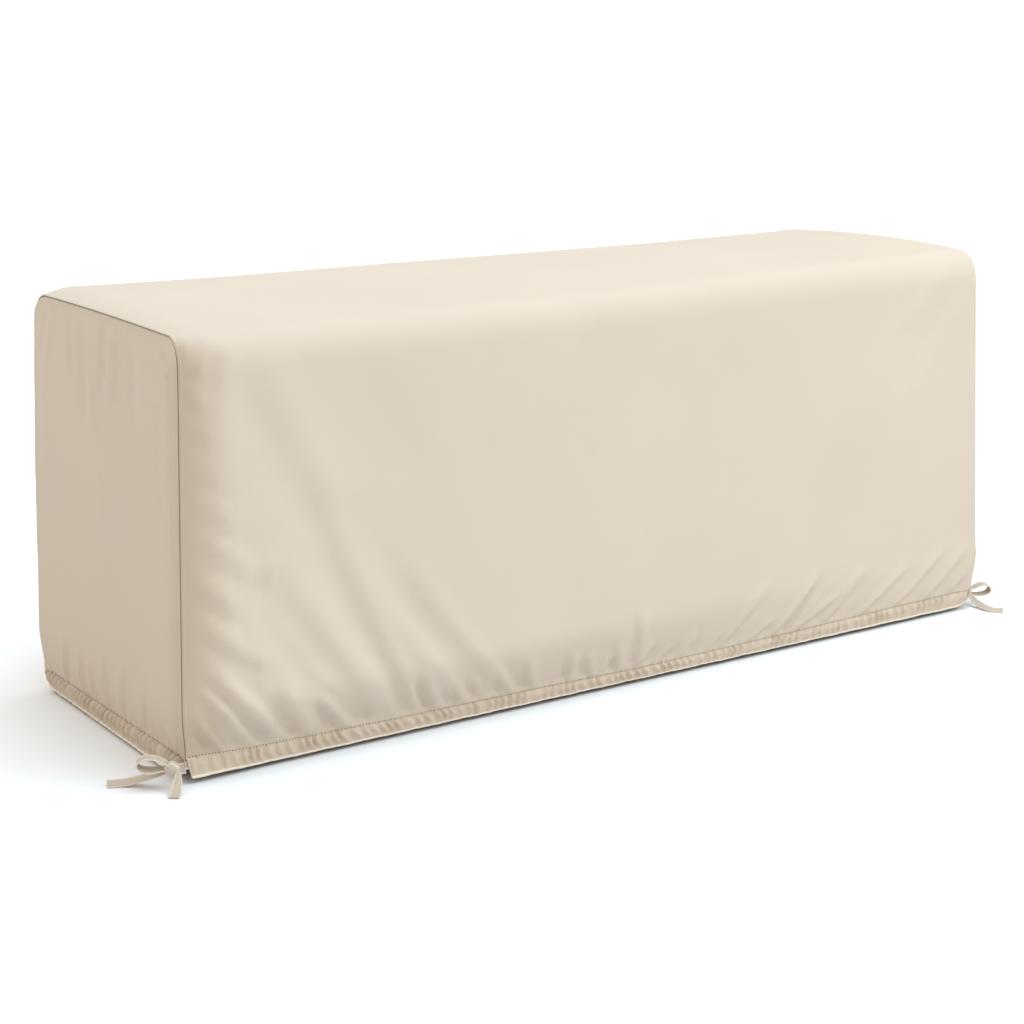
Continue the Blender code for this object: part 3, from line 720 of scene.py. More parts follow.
def hem_wave(cover, along, height):
    """Small rise and fall of the casing's foot, which leaves its stitches level."""
    return sum(ripple(wave, along) for wave in HEM_WAVES) * cover.down_casing(height)


def casing_dip(cover, x, height):
    """Rise and fall of the front casing's stitches, faded to the foot and up the wall."""
    above = smooth((height - cover.hem_top) / CASING_DIP_REACH)
    return read_table(CASING_DIP, x) * (1.0 - cover.down_casing(height)) * (1.0 - above)


def wrap_points(cover, rows, x):
    """Points of the wrap's outer face for rows of the section and places x along it."""
    y, height, out_y, out_up, read = (column[:, None] for column in rows.T)
    half = wrap_half(cover, height, out_y, out_up)
    foot = cover.down_casing(height) * (out_y < 0.0)
    flare = foot * (1.0 - smooth((half + x) / FOOT_FLARE_REACH))
    lift = FOOT_LIFT * foot**2 * (1.0 - smooth((half - x) / FOOT_LIFT_REACH)) + FOOT_FLARE_LIFT * flare
    relief = wrap_relief(cover, x, read, out_y, out_up) + FOOT_FLARE * flare
    past_edge = clamp((y + cover.depth / 2) / cover.radius_depth) * clamp(0.5 - y / cover.depth)
    wider = (cover.radius_right - cover.radius_depth) * step_between(x, *WIDER_EDGE)
    y = y + wider * past_edge
    up = height + out_up * relief + hem_wave(cover, x, read) + lift
    up = up + cover.back_rise(x, y, height) + cover.top_arch(x, y, height)
    up = up + casing_dip(cover, x, height) * (out_y < 0.0)
    moved = x + cover.reach(x, y, height)
    return np.stack(np.broadcast_arrays(moved, y + out_y * relief, up - cover.floor), axis=-1)


def mouth_inset(cover, rows):
    """How far the front casing stops short of its corners, growing from its stitches to its foot."""
    down = cover.down_casing(rows[:, 1])
    return (MOUTH_TOP + (MOUTH_FOOT - MOUTH_TOP) * down) * (rows[:, 0] < 0.0)


def wrap_part(cover, name, rows, half, columns, material, with_seam):
    """One strip of the wrap. The columns' places are shares of the half length of each row. The painted shade
    beside the front seam ends at the back, where a metre is added to its distance."""
    x = half[:, None] * columns[None, :]
    points = wrap_points(cover, rows, x)
    flat_places = np.stack((x, flat_lengths(points).mean(1)[:, None] + 0.0 * x), -1)
    if with_seam:
        from_seam = np.abs(half[:, None] - np.abs(x))
    else:
        # On a casing, its height above the fold, which sets the painted highlight along its foot.
        from_seam = rows[:, 4:5] - cover.floor_gap - HEM_ROLL + 0.0 * x
    quads = grid_faces(*x.shape)
    part = mesh_object(name, points.reshape(-1, 3), quads, material, flat_places.reshape(-1, 2), from_seam)
    # The distance that sets the painted shade beside the front seam.
    if with_seam:
        add_painted_strip_shade(part, half[:, None] + x + (rows[:, 2:3] > 0.0) + PAINTED_STRIP_SHADE_FADE * smooth(rows[:, 3:4]))
    return give_thickness(part, cover.cloth)


def make_wrap(cover, material, doubled):
    """The wrap above its stitches as one strip, and its front and back casings as two more."""
    front = wall_section(cover, FRONT_STEPS, ARC_ROWS_FRONT, cover.radius_depth)
    back = wall_section(cover, PLAIN_STEPS, ARC_ROWS_BACK, cover.radius)[::-1] * MIRROR
    flat = np.linspace(front[-1, 0], back[0, 0], TOP_ROWS + 2)[1:-1]
    top = np.array([(y, cover.height, 0.0, 1.0, cover.height) for y in flat])
    rows = np.concatenate((front, top, back))
    half = wrap_half(cover, rows[:, 4], rows[:, 2], rows[:, 3])
    columns = wrap_columns(cover, WRAP_COLUMNS, WRAP_CROWDING)
    parts = [wrap_part(cover, "wrap_cloth", rows, half, columns, material, True)]
    for name in ("front_casing", "back_casing"):
        rows = casing_section(cover, CASING_ROWS[name])
        if name == "back_casing":
            rows = rows[::-1] * MIRROR
        half = wrap_half(cover, rows[:, 4], rows[:, 2], rows[:, 3]) - mouth_inset(cover, rows)
        columns = wrap_columns(cover, CASING_COLUMNS[name], 0.0)
        parts.append(wrap_part(cover, name, rows, half, columns, doubled, False))
    return parts


# The end panels.


# Distance of an end panel's edge from the wrap's plain section, on its sides and at its top.
END_SIDE_INSET = EDGE_ROLL + SEAM_ROLL + SEAM_GAP
END_TOP_INSET = EDGE_ROLL_TOP + SEAM_ROLL + SEAM_GAP


def end_relief(cover, y, height, from_seam):
    """Outward swell, creases and gathers of an end panel, with its stitches' groove."""
    calm = smooth(from_seam / EDGE_CALM)
    belly = END_BELLY * smooth(height / cover.wall_top)
    creases = crease_relief(y, height, END_CREASES) * hem_hold(cover, height)
    relief = (belly + creases) * calm
    relief = relief + END_PUCKERS * pucker_relief(cover, y, height) * smooth(from_seam / PUCKER_CALM)
    relief = relief + seam_puckers(y + height, from_seam)
    return relief + stitch_groove(cover, height, from_seam) + hem_bead(cover, height)


def corner_lift(cover, y, height):
    """How far an end panel's hem is pulled up beside the front corner."""
    near = 1.0 - smooth((y + cover.depth / 2) / CORNER_LIFT_REACH)
    return CORNER_LIFT * near * cover.down_casing(height)


def hem_drop(cover, y, height):
    """How much lower an end panel's hem hangs away from its corners."""
    level = smooth((cover.depth / 2 - np.abs(y)) / EDGE_CALM)
    return END_HEM_DROP * level * cover.down_casing(height)


def end_points(cover, side, rows, share):
    """Points of an end panel's outer face: share 0 to 1 runs from its front seam to its back seam. Near its
    two round upper corners, an ellipse each, the distance from the seam is measured towards the ellipse."""
    station_y, station_height, _, _, read = (column[:, None] for column in rows.T)
    wall_height = np.minimum(station_height, cover.wall_top)
    layer = np.where(station_height <= cover.wall_top, station_y + cover.half_depth(wall_height), 0.0)
    rise = clamp((station_height - cover.wall_top) / cover.radius)
    run = np.sqrt(1.0 - rise**2)
    front_deep = cover.radius_depth if side < 0.0 else cover.radius_right
    front = cover.half_depth(wall_height) - front_deep + (front_deep - END_SIDE_INSET) * run
    back = cover.half_depth(wall_height) - cover.radius + (cover.radius - END_SIDE_INSET) * run
    y = -front + (front + back) * share
    height = station_height - END_TOP_INSET * rise + 0.0 * y
    from_side = cover.half_depth(np.minimum(height, cover.wall_top)) - END_SIDE_INSET - np.abs(y)
    from_top = cover.height - END_TOP_INSET - height
    deep = np.where(y < 0.0, front_deep, cover.radius) - END_SIDE_INSET
    high = cover.radius - END_TOP_INSET
    side_share = np.maximum(1.0 - from_side / deep, 1e-6)
    top_share = np.maximum(1.0 - from_top / high, 1e-6)
    scale = (deep * side_share**2 + high * top_share**2) / (side_share**2 + top_share**2)
    from_seam = np.maximum(1.0 - np.hypot(side_share, top_share), 0.0) * scale
    sample = np.minimum(read, height)
    over = (share < 0.0) | (share > 1.0) | (station_height > cover.height)
    out = end_relief(cover, y, sample, from_seam) - seam_turn(from_seam) - layer - SEAM_DIVE * over
    x = cover.half_length(station_height) - END_INSET + out
    end = side * cover.length / 2
    lifted = height + corner_lift(cover, y, height) - hem_drop(cover, y, height) + hem_wave(cover, y, height)
    y = y * (cover.half_depth(lifted) - END_SIDE_INSET) / (cover.half_depth(height) - END_SIDE_INSET)
    up = lifted + cover.back_rise(end, y, station_height) + cover.top_arch(end, y, station_height)
    moved = side * x + cover.reach(side * x, y, station_height)
    return np.stack(np.broadcast_arrays(moved, y, up - cover.floor), axis=-1), from_seam


def end_shares(cover, inner_columns):
    """Places across an end panel, crowded on its rolled edges, whose cloth runs on under the wrap."""
    width = 2 * cover.half_depth(END_MEASURE)
    edge = edge_places(END_SIDE_PLACES) / width
    middle = np.linspace(edge[-1], 1.0 - edge[-1], inner_columns)
    lap = SEAM_LAP / width
    return np.concatenate(((-lap,), edge[:-1], middle, (1.0 - edge[:-1])[::-1], (1.0 + lap,)))


def end_part(cover, name, side, rows, share, material, with_seam):
    """One strip of an end panel."""
    points, from_seam = end_points(cover, side, rows, share[None, :])
    flat_places = np.stack((points[..., 1], flat_lengths(points).mean(1)[:, None] + 0.0 * share), -1)
    quads = grid_faces(len(rows), len(share))[:, :: int(side)]
    if not with_seam:
        # On a casing, its height above the fold, which sets the painted highlight along its foot.
        from_seam = rows[:, 4:5] - cover.floor_gap - HEM_ROLL + 0.0 * from_seam
    part = mesh_object(name, points.reshape(-1, 3), quads, material, flat_places.reshape(-1, 2), from_seam)
    # The distance that sets the painted shade beside the front seam, narrowed round the top edge.
    if with_seam:
        round_edge = smooth((rows[:, 1:2] - cover.wall_top) / cover.radius)
        add_painted_strip_shade(part, points[..., 1] + cover.half_depth(END_MEASURE) + PAINTED_STRIP_SHADE_FADE * round_edge)
    return give_thickness(part, cover.cloth)


def make_end(cover, word, side, material, doubled):
    """An end panel above its stitches as one strip, and its casing as another."""
    wall = wall_section(cover, END_STEPS, ARC_ROWS_END, cover.radius_depth)
    wall = np.concatenate((wall, wall[-1:] + np.array((0.0, SEAM_LAP, 0.0, 0.0, SEAM_LAP))))
    casing = casing_section(cover, END_CASING_ROWS)
    shares = end_shares(cover, END_COLUMNS)
    fine_shares = end_shares(cover, END_CASING_COLUMNS)
    return (
        end_part(cover, f"{word}_end_cloth", side, wall, shares, material, True),
        end_part(cover, f"{word}_casing", side, casing, fine_shares, doubled, False),
    )


# Stitches.


def stitch_row(name, places, ways, outs, material):
    """Sewn thread: at each place one short rod with six sides and six rings, thickest in its middle, its ends
    dipping into the cloth."""
    along = np.array((-0.5, -0.42, -0.2, 0.2, 0.42, 0.5)) * STITCH_LENGTH
    size = np.array((0.25, 0.75, 1.0, 1.0, 0.75, 0.25)) * STITCH_RADIUS
    dip = np.array((-1.1, -0.3, 0.5, 0.5, -0.3, -1.1)) * STITCH_RADIUS
    angle = np.linspace(0.0, 2 * math.pi, 7)[:-1]
    sides = np.cross(ways, outs)
    centre = places[:, None] + ways[:, None] * along[None, :, None] + outs[:, None] * dip[None, :, None]
    ring = sides[:, None, :] * np.cos(angle)[None, :, None] + outs[:, None, :] * np.sin(angle)[None, :, None]
    points = centre[:, :, None] + ring[:, None] * size[None, :, None, None]
    caps = np.array(((3, 2, 1, 0), (5, 4, 3, 0), (30, 31, 32, 33), (30, 33, 34, 35)))
    rod = np.concatenate((ring_faces(6, 6)[:, (0, 3, 2, 1)], caps))
    quads = (rod[None] + 36 * np.arange(len(places))[:, None, None]).reshape(-1, 4)
    return mesh_object(name, points.reshape(-1, 3), quads, material)


def directions(before, after, toward):
    """Unit steps from one row of points to the next, and unit outward directions square to them."""
    ways = after - before
    ways /= np.linalg.norm(ways, axis=1, keepdims=True)
    outs = toward - ways * np.sum(ways * toward, axis=1, keepdims=True)
    return ways, outs / np.linalg.norm(outs, axis=1, keepdims=True)


def make_stitching(cover, material):
    """Rows of stitches along the top of the casing, on the front, the back and both ends."""
    made = []
    row = np.array((wall_row(cover, cover.hem_top),))
    half = cover.half_length(cover.hem_top) - STITCH_MARGIN
    x = np.arange(-half, half, cover.stitch_pitch)[None, :]
    for name, flip in (("front_hem_stitching", 1.0), ("back_hem_stitching", -1.0)):
        side_row = row * np.array((flip, 1.0, flip, 1.0, 1.0))
        at = wrap_points(cover, side_row, x)[0]
        ahead = wrap_points(cover, side_row, x + STITCH_AHEAD[0])[0]
        ways, outs = directions(at, ahead, np.array((0.0, -flip, 0.0)))
        made.append(stitch_row(name, at, ways, outs, material))
    width = 2 * (cover.half_depth(cover.hem_top) - END_SIDE_INSET)
    share = np.arange(STITCH_MARGIN, width - STITCH_MARGIN, cover.stitch_pitch)[None, :] / width
    for name, side in (("left_hem_stitching", -1.0), ("right_hem_stitching", 1.0)):
        at = end_points(cover, side, row, share)[0][0]
        ahead = end_points(cover, side, row, share + STITCH_AHEAD[1])[0][0]
        ways, outs = directions(at, ahead, np.array((side, 0.0, 0.0)))
        made.append(stitch_row(name, at, ways, outs, material))
    return made


# The tapes.

# Routes of the tapes: how far out past the end of the casing and how far back from its front face each point
# lies and its height above the floor, in millimetres, the direction of the tape's width, and its width as a
# share of the whole. A knot has its middle's place in the same three measures.
Key = namedtuple("Key", "out back height across share")
TAPE_HEIGHT = 0.036  # where the tapes leave the casing
ROUTE_STEPS = 10  # points from one key of a route to the next; the second key lies in the casing's mouth
TAPE_HEM = 0.006  # folded and stitched end of a tail
LEFT_ROUTE = (
    (-4, 5.2, 36, (0, 0.1, 1), 1),
    (1.2, 6, 36, (0, 0.1, 1), 1),
    (12, 5, 37, (0, 0.1, 1), 0.95),
    (24, 3, 41, (0.1, 0.3, 1), 0.6),
    (31, 1, 49, (0.4, 0.75, 0.35), 0.6),
    (39, 1, 57, (0.48, 0.82, 0.22), 0.85),
    (53, 7, 66, (0.5, 0.84, 0.12), 1),
    (73, 14, 71, (0.5, 0.84, 0.1), 1),
    (86, 19, 67, (0.48, 0.82, 0.18), 1),
    (91, 21, 58, (0.45, 0.8, 0.24), 1),
    (83, 18, 48, (0.42, 0.78, 0.32), 1),
    (67, 12, 44, (0.42, 0.78, 0.34), 1),
    (51, 6, 45, (0.42, 0.78, 0.3), 0.85),
    (38, 2, 44, (0.4, 0.76, 0.36), 0.6),
    (28, 2, 40, (0.3, 0.7, 0.6), 0.5),
    (36, 7, 38, (0.35, 0.65, 0.65), 0.62),
    (46, 17, 33, (0.42, 0.62, 0.62), 0.8),
    (61.5, 40, 21.5, (0.55, 0.62, 0.5), 0.95),
    (89, 65.5, 9, (0.52, 0.7, 0.42), 1),
    (110, 78, 6, (0.48, 0.74, 0.4), 1),
    (126, 84, 5.6, (0.46, 0.76, 0.4), 1),
)
LEFT_SHORT_TAIL = (
    (24, -6, 50, (1, 0, 0.1), 0.3),
    (22, -12.5, 42, (1, 0, 0.1), 0.42),
    (23, -16, 33, (1, -0.1, 0), 0.62),
    (28, -22, 19, (1, -0.3, 0), 0.9),
    (37, -33, 6.5, (0.9, -0.5, 0), 1),
    (44, -41, 2.8, (0.8, -0.6, 0), 1),
    (48, -46, 2.6, (0.8, -0.6, 0), 1),
)
LEFT_KNOT = (29, -3, 45)
RIGHT_ROUTE = (
    (-4, 5.2, 36, (0, 0.1, 1), 1),
    (1.5, 6, 36, (0, 0.1, 1), 1),
    (6, 10, 37, (0, 0.1, 1), 0.9),
    (12, 22, 37, (0.1, 0.2, 1), 0.65),
    (15.8, 34, 37, (0.3, 0.8, 0.4), 0.45),
    (29, 31, 41, (0.38, 0.88, 0.12), 0.75),
    (42.5, 26, 47, (0.38, 0.88, 0.14), 1),
    (56, 21, 50, (0.38, 0.88, 0.14), 1),
    (69, 17, 46, (0.38, 0.88, 0.14), 1),
    (74.7, 15, 37, (0.38, 0.88, 0.14), 1),
    (69, 17, 28, (0.36, 0.88, 0.16), 1),
    (54, 22, 24, (0.36, 0.86, 0.18), 1),
    (38.5, 27, 25, (0.36, 0.86, 0.18), 0.9),
    (27, 31, 29, (0.5, 0.8, 0.2), 0.55),
    (19.8, 31, 34, (0.7, 0.3, 0.2), 0.45),
    (20.5, 22, 23.5, (0.78, 0.2, 0.4), 0.6),
    (19, 6, 15, (0.8, 0.12, 0.4), 0.7),
    (19, -12, 8.5, (0.82, 0.15, 0.34), 0.85),
    (21.5, -34, 5, (0.85, 0.22, 0.2), 1),
    (30, -51, 3.6, (0.7, 0.6, 0.18), 1),
    (43, -63, 3.8, (0.55, 0.75, 0.22), 1),
)
RIGHT_KNOT = (14.8, 34, 36)


def place(cover, side, *key):
    """Where a point of a tape lies, on the left (side -1) or the right (1)."""
    out, back, height = (0.001 * value for value in key)
    x = side * (cover.half_length(TAPE_HEIGHT) + out)
    x = x + cover.reach(x, -cover.depth / 2, TAPE_HEIGHT)
    return np.array((x, back - cover.half_depth(TAPE_HEIGHT), height - cover.floor))


def smooth_route(cover, side, keys):
    """Points, width directions and width shares on a smooth curve through the keys (a Catmull-Rom spline)."""
    keys = [Key(*row) for row in keys]
    table = np.array([(*place(cover, side, k.out, k.back, k.height), *k.across, k.share) for k in keys])
    ends = np.concatenate((2 * table[:1] - table[1:2], table, 2 * table[-1:] - table[-2:-1]))
    a, b, c, d = (ends[i : len(ends) - 3 + i, None, :] for i in range(4))
    t = (np.arange(ROUTE_STEPS) / ROUTE_STEPS)[None, :, None]
    bend = (2 * a - 5 * b + 4 * c - d) * t**2 + (3 * b - a - 3 * c + d) * t**3
    spans = (b + 0.5 * ((c - a) * t + bend)).reshape(-1, table.shape[1])
    route = np.concatenate((spans, table[-1:]))
    return route[:, :3], route[:, 3:6], route[:, 6]


# Half of the tape's cross-section: the place across it as a share of the half width, and the half thickness
# in metres. The folded and stitched edges are thicker than the middle.
Station = namedtuple("Station", "across half_thickness")
TAPE_HALF = (
    Station(0.00, 0.00080),
    Station(0.40, 0.00075),
    Station(0.76, 0.00060),
    Station(0.86, 0.00135),
    Station(0.98, 0.00105),
    Station(1.00, 0.00020),
)
TAPE_SECTION = (*(Station(-across, thick) for across, thick in TAPE_HALF[:0:-1]), *TAPE_HALF)
TAPE_HEM_SWELL = 0.8  # by how much a tail's folded end is thicker
TAPE_HEM_STEP = 0.0012  # over this length


def tape_object(cover, name, centre, across, share, material):
    """A flat tape: its cross-section carried along the route, square to it and thicker where its far end is
    folded over, with closed ends. The UV map holds metres along it and across it."""
    along = np.gradient(centre, axis=0)
    along /= np.linalg.norm(along, axis=1, keepdims=True)
    across = across - along * np.sum(across * along, axis=1, keepdims=True)
    across /= np.linalg.norm(across, axis=1, keepdims=True)
    face = np.cross(along, across)
    table = np.array(TAPE_SECTION)
    u = np.concatenate((table[:, 0], table[::-1, 0]))
    v = np.concatenate((table[:, 1], -table[::-1, 1]))
    half = cover.tape_width / 2
    points = centre[:, None] + across[:, None] * (u * half)[None, :, None] * share[:, None, None]
    length = flat_lengths(centre[:, None])[:, 0]
    thick = 1.0 + TAPE_HEM_SWELL * smooth((length - length[-1] + TAPE_HEM) / TAPE_HEM_STEP)
    points = points + face[:, None] * v[None, :, None] * thick[:, None, None]
    rows, ring = points.shape[:2]
    low = np.arange(len(table) - 1)
    cap = np.stack((low, low + 1, ring - 2 - low, ring - 1 - low), -1)
    quads = np.concatenate((ring_faces(rows, ring), cap, cap[:, ::-1] + (rows - 1) * ring))
    flat = np.stack(np.broadcast_arrays(length[:, None], (u * half)[None, :]), -1).reshape(-1, 2)
    # Distance from the tape's edge, which sets its painted highlight.
    from_edge = (1.0 - np.abs(u))[None, :] * half * share[:, None]
    return mesh_object(name, points.reshape(-1, 3), quads, material, flat, from_edge)


# Directions of a knot: to its right and to its back as seen by someone who faces the tie, and up.
KNOT_AXES = np.array(((0.826, -0.564, 0.0), (0.564, 0.826, 0.0), (0.0, 0.0, 1.0)))
KNOT_SIZE = np.array((0.0160, 0.0125, 0.0148))
KNOT_COLUMNS = 64
KNOT_ROWS = 33
KNOT_CORNER = 0.07  # how far its five corners stand out
KNOT_RIM = 0.16  # how far the wound tape's edge stands out round its face
KNOT_RIM_PLACE = 0.80  # its distance from the middle
KNOT_RIM_WIDTH = 0.10
KNOT_EDGE = 0.0018  # what its rim and its half width count as distances from the tape's edge, in metres
KNOT_HALF = 0.012


def knot_object(name, centre, scale, material):
    """A pulled knot: a pressed ball with five soft corners, its radius 1 + k·cos 5φ round its face, and a
    raised rim where the wound tape's edge runs, a narrow bell over the distance from its middle."""
    lon = np.linspace(0.0, 2 * math.pi, KNOT_COLUMNS + 1)[:-1]
    lat = np.linspace(-math.pi / 2, math.pi / 2, KNOT_ROWS + 2)[1:-1]
    right = np.cos(lat)[:, None] * np.cos(lon)[None, :]
    up = np.cos(lat)[:, None] * np.sin(lon)[None, :]
    back = np.sin(lat)[:, None] + 0.0 * lon[None, :]
    from_middle = np.hypot(right, up)
    corners = 1.0 + KNOT_CORNER * from_middle**2 * np.cos(5.0 * (lon[None, :] - math.pi / 2))
    rim = 1.0 + KNOT_RIM * bell(from_middle, KNOT_RIM_PLACE, KNOT_RIM_WIDTH)
    local = np.stack((right * corners, back * rim, up * corners), -1).reshape(-1, 3)
    poles = np.array(((0.0, -1.0, 0.0), (0.0, 1.0, 0.0)))
    points = centre + (np.concatenate((local, poles)) * KNOT_SIZE * scale) @ KNOT_AXES
    near_pole, far_pole = len(points) - 2, len(points) - 1
    even = np.arange(0, KNOT_COLUMNS, 2)
    ahead = (even + 2) % KNOT_COLUMNS
    last = (KNOT_ROWS - 1) * KNOT_COLUMNS
    near = np.stack((even * 0 + near_pole, even, even + 1, ahead), -1)
    far = np.stack((even * 0 + far_pole, last + ahead, last + even + 1, last + even), -1)
    quads = np.concatenate((ring_faces(KNOT_ROWS, KNOT_COLUMNS), near, far))
    # Distance from the rim, which sets the painted highlight there.
    from_rim = KNOT_EDGE + KNOT_HALF * np.abs(np.append(from_middle, (0.0, 0.0)) - KNOT_RIM_PLACE)
    return mesh_object(name, points, quads, material, None, from_rim)


# Materials.


def new_material(name):
    """A material with its node tree and its shader."""
    material = bpy.data.materials.new(name)
    material.use_nodes = True
    return material, material.node_tree, material.node_tree.nodes["Principled BSDF"]


def new_node(tree, kind, inputs=(), **settings):
    """A shader node with its settings; each input is a number or a colour, or an output socket to link."""
    node = tree.nodes.new("ShaderNode" + kind)
    for name, value in settings.items():
        setattr(node, name, value)
    set_inputs(tree, node, dict(inputs))
    return node


def set_inputs(tree, node, values):
    """Values or links for a node's inputs, by their names or numbers."""
    for name, value in values.items():
        if isinstance(value, bpy.types.NodeSocket):
            tree.links.new(value, node.inputs[name])
        else:
            node.inputs[name].default_value = value


def math_node(tree, operation, first, second=0.0):
    """The output of a Math node; each operand is a number or an output socket."""
    return new_node(tree, "Math", {0: first, 1: second}, operation=operation).outputs[0]


def noise_node(tree, scale, detail):
    """Noise over the object's own coordinates, as a share."""
    where = new_node(tree, "TexCoord").outputs["Object"]
    return new_node(tree, "TexNoise", {"Scale": scale, "Detail": detail, "Vector": where}).outputs["Fac"]


def tinted(tree, colour, share, tints, ends=(0.0, 1.0)):
    """A colour between a darker and a lighter tint of the one given, by a share that runs between the
    ends."""
    ramp = new_node(tree, "ValToRGB", {"Fac": share})
    for element, position, tint in zip(ramp.color_ramp.elements, ends, tints):
        element.position = position
        element.color = (*(min(1.0, tint * c) for c in colour), 1.0)
    return ramp.outputs["Color"]


def paint_edge_light(tree, colour_from, colour, near_edge, far_edge, distance="from_seam"):
    """Painted light along an edge, as another colour: all of it nearer than the first distance, none beyond
    the second.
    """
    near = new_node(tree, "Attribute", attribute_name=distance).outputs["Fac"]
    ends = {"Value": near, "From Min": near_edge, "From Max": far_edge}
    reach = new_node(tree, "MapRange", ends, interpolation_type="SMOOTHSTEP").outputs["Result"]
    colours = {"Fac": reach, "Color1": (*colour, 1.0), "Color2": colour_from}
    return new_node(tree, "MixRGB", colours).outputs["Color"]


def woven_cloth(name, colour, edge, edge_reach=SEAM_SHADE_REACH, painted_strip_shade=None, painted_strip_shade_reach=PAINTED_STRIP_SHADE):
    """Plain weave: warp and weft threads as two crossed waves over the piece's flat places in metres, with
    slow changes of tint and shine, painted light along the edge (painted shade in a seam, a painted highlight
    along a fold), and painted shade in a strip beside the front seams."""
    material, tree, shader = new_material(name)
    flat = new_node(tree, "UVMap", uv_map="FlatMetres").outputs["UV"]
    split = new_node(tree, "SeparateXYZ", {"Vector": flat}).outputs
    turns = 2 * math.pi / WEAVE_PITCH
    warp, weft = (math_node(tree, "SINE", math_node(tree, "MULTIPLY", split[way], turns)) for way in "XY")
    weave = math_node(tree, "MULTIPLY", warp, weft)
    slow = noise_node(tree, *SLOW_NOISE)
    fine = noise_node(tree, *FINE_NOISE)
    tone, *others = (math_node(tree, "MULTIPLY", *pair) for pair in zip((slow, fine, weave), TINT_WEIGHTS))
    for other in others:
        tone = math_node(tree, "ADD", tone, other)
    base = tinted(tree, colour, tone, CLOTH_TINTS, NOISE_RANGE)
    # Painted shade in a strip beside the front seams.
    if painted_strip_shade is not None:
        base = paint_edge_light(tree, base, painted_strip_shade, *painted_strip_shade_reach, "from_painted_strip_shade")
    # Painted light along the edge: painted shade in the seams, a painted highlight along a casing's foot and
    # a tape's edges.
    base = paint_edge_light(tree, base, edge, *edge_reach)
    sockets = ("Value", "From Min", "From Max", "To Min", "To Max")
    ends = dict(zip(sockets, (slow, *NOISE_RANGE, *CLOTH_ROUGHNESS)))
    shine = new_node(tree, "MapRange", ends).outputs["Result"]
    relief = math_node(tree, "ADD", weave, math_node(tree, "MULTIPLY", fine, FINE_BUMP))
    bumps = new_node(tree, "Bump", {"Strength": BUMP_STRENGTH, "Distance": WEAVE_BUMP, "Height": relief})
    looks = {"Base Color": base, "Roughness": shine, "Normal": bumps.outputs["Normal"]}
    set_inputs(tree, shader, {**looks, **CLOTH_FINISH})
    return material


def plain_material(name, colour, roughness, *noise):
    """A matt finish whose tint changes with a noise of the scale and detail given."""
    material, tree, shader = new_material(name)
    base = tinted(tree, colour, noise_node(tree, *noise), PLAIN_TINTS)
    set_inputs(tree, shader, {"Base Color": base, "Roughness": roughness})
    return material


# Operators.


def settings():
    """The sizes as plain numbers, and the colours."""
    scene = bpy.context.scene
    return Cover(scene.cover_sizes), scene.cover_colours


def add_piece(thing, slot, *nodes):
    """The piece rides on the cover's one body and takes the place of its solids."""
    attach(thing, BODY)
    if nodes:
        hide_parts(*nodes)
    return thing


class COVER_OT_wrap(bpy.types.Operator):
    """Make the wrap panel: front, top and back in one cloth, with its turned casings"""

    bl_idname = "cover.make_wrap"
    bl_label = "Make wrap panel"

    def execute(self, context):
        cover, colours = settings()
        cloth = woven_cloth("wrap_fabric", colours.cloth, colours.seam, painted_strip_shade=colours.painted_strip_shade)
        # The casings' colour is painted darker, as shade.
        doubled = woven_cloth("wrap_casing_fabric", colours.casing, colours.casing_foot_highlight, CASING_FOOT_HIGHLIGHT)
        wrap, *casings = make_wrap(cover, cloth, doubled)
        add_piece(wrap, "wrap_cloth", "wrap_panel")
        for casing in casings:
            add_piece(casing, "wrap_cloth")
        return {"FINISHED"}


class COVER_OT_ends(bpy.types.Operator):
    """Make the two flat end panels"""

    bl_idname = "cover.make_ends"
    bl_label = "Make end panels"

    def execute(self, context):
        cover, colours = settings()
        # The end panels' colour is the cloth's, painted darker as shade.
        cloth = woven_cloth(
            "end_fabric", colours.end_cloth, colours.seam, painted_strip_shade=colours.end_painted_strip_shade,
            painted_strip_shade_reach=PAINTED_STRIP_SHADE_END,
        )
        doubled = woven_cloth("end_casing_fabric", colours.casing, colours.casing_foot_highlight, CASING_FOOT_HIGHLIGHT)
        for word, side in (("left", -1.0), ("right", 1.0)):
            panel, casing = make_end(cover, word, side, cloth, doubled)
            add_piece(panel, "end_cloth", f"{word}_end_panel")
            add_piece(casing, "end_cloth")
        return {"FINISHED"}


class COVER_OT_stitching(bpy.types.Operator):
    bl_idname = "cover.make_stitching"
    bl_label = "Make stitching"

    def execute(self, context):
        cover, colours = settings()
        thread = plain_material("sewing_thread", colours.thread, 0.65, 900.0, 2.0)
        front, back, left, right = make_stitching(cover, thread)
        for row in (front, back):
            add_piece(row, "wrap_cloth")
        for row in (left, right):
            add_piece(row, "end_cloth")
        return {"FINISHED"}


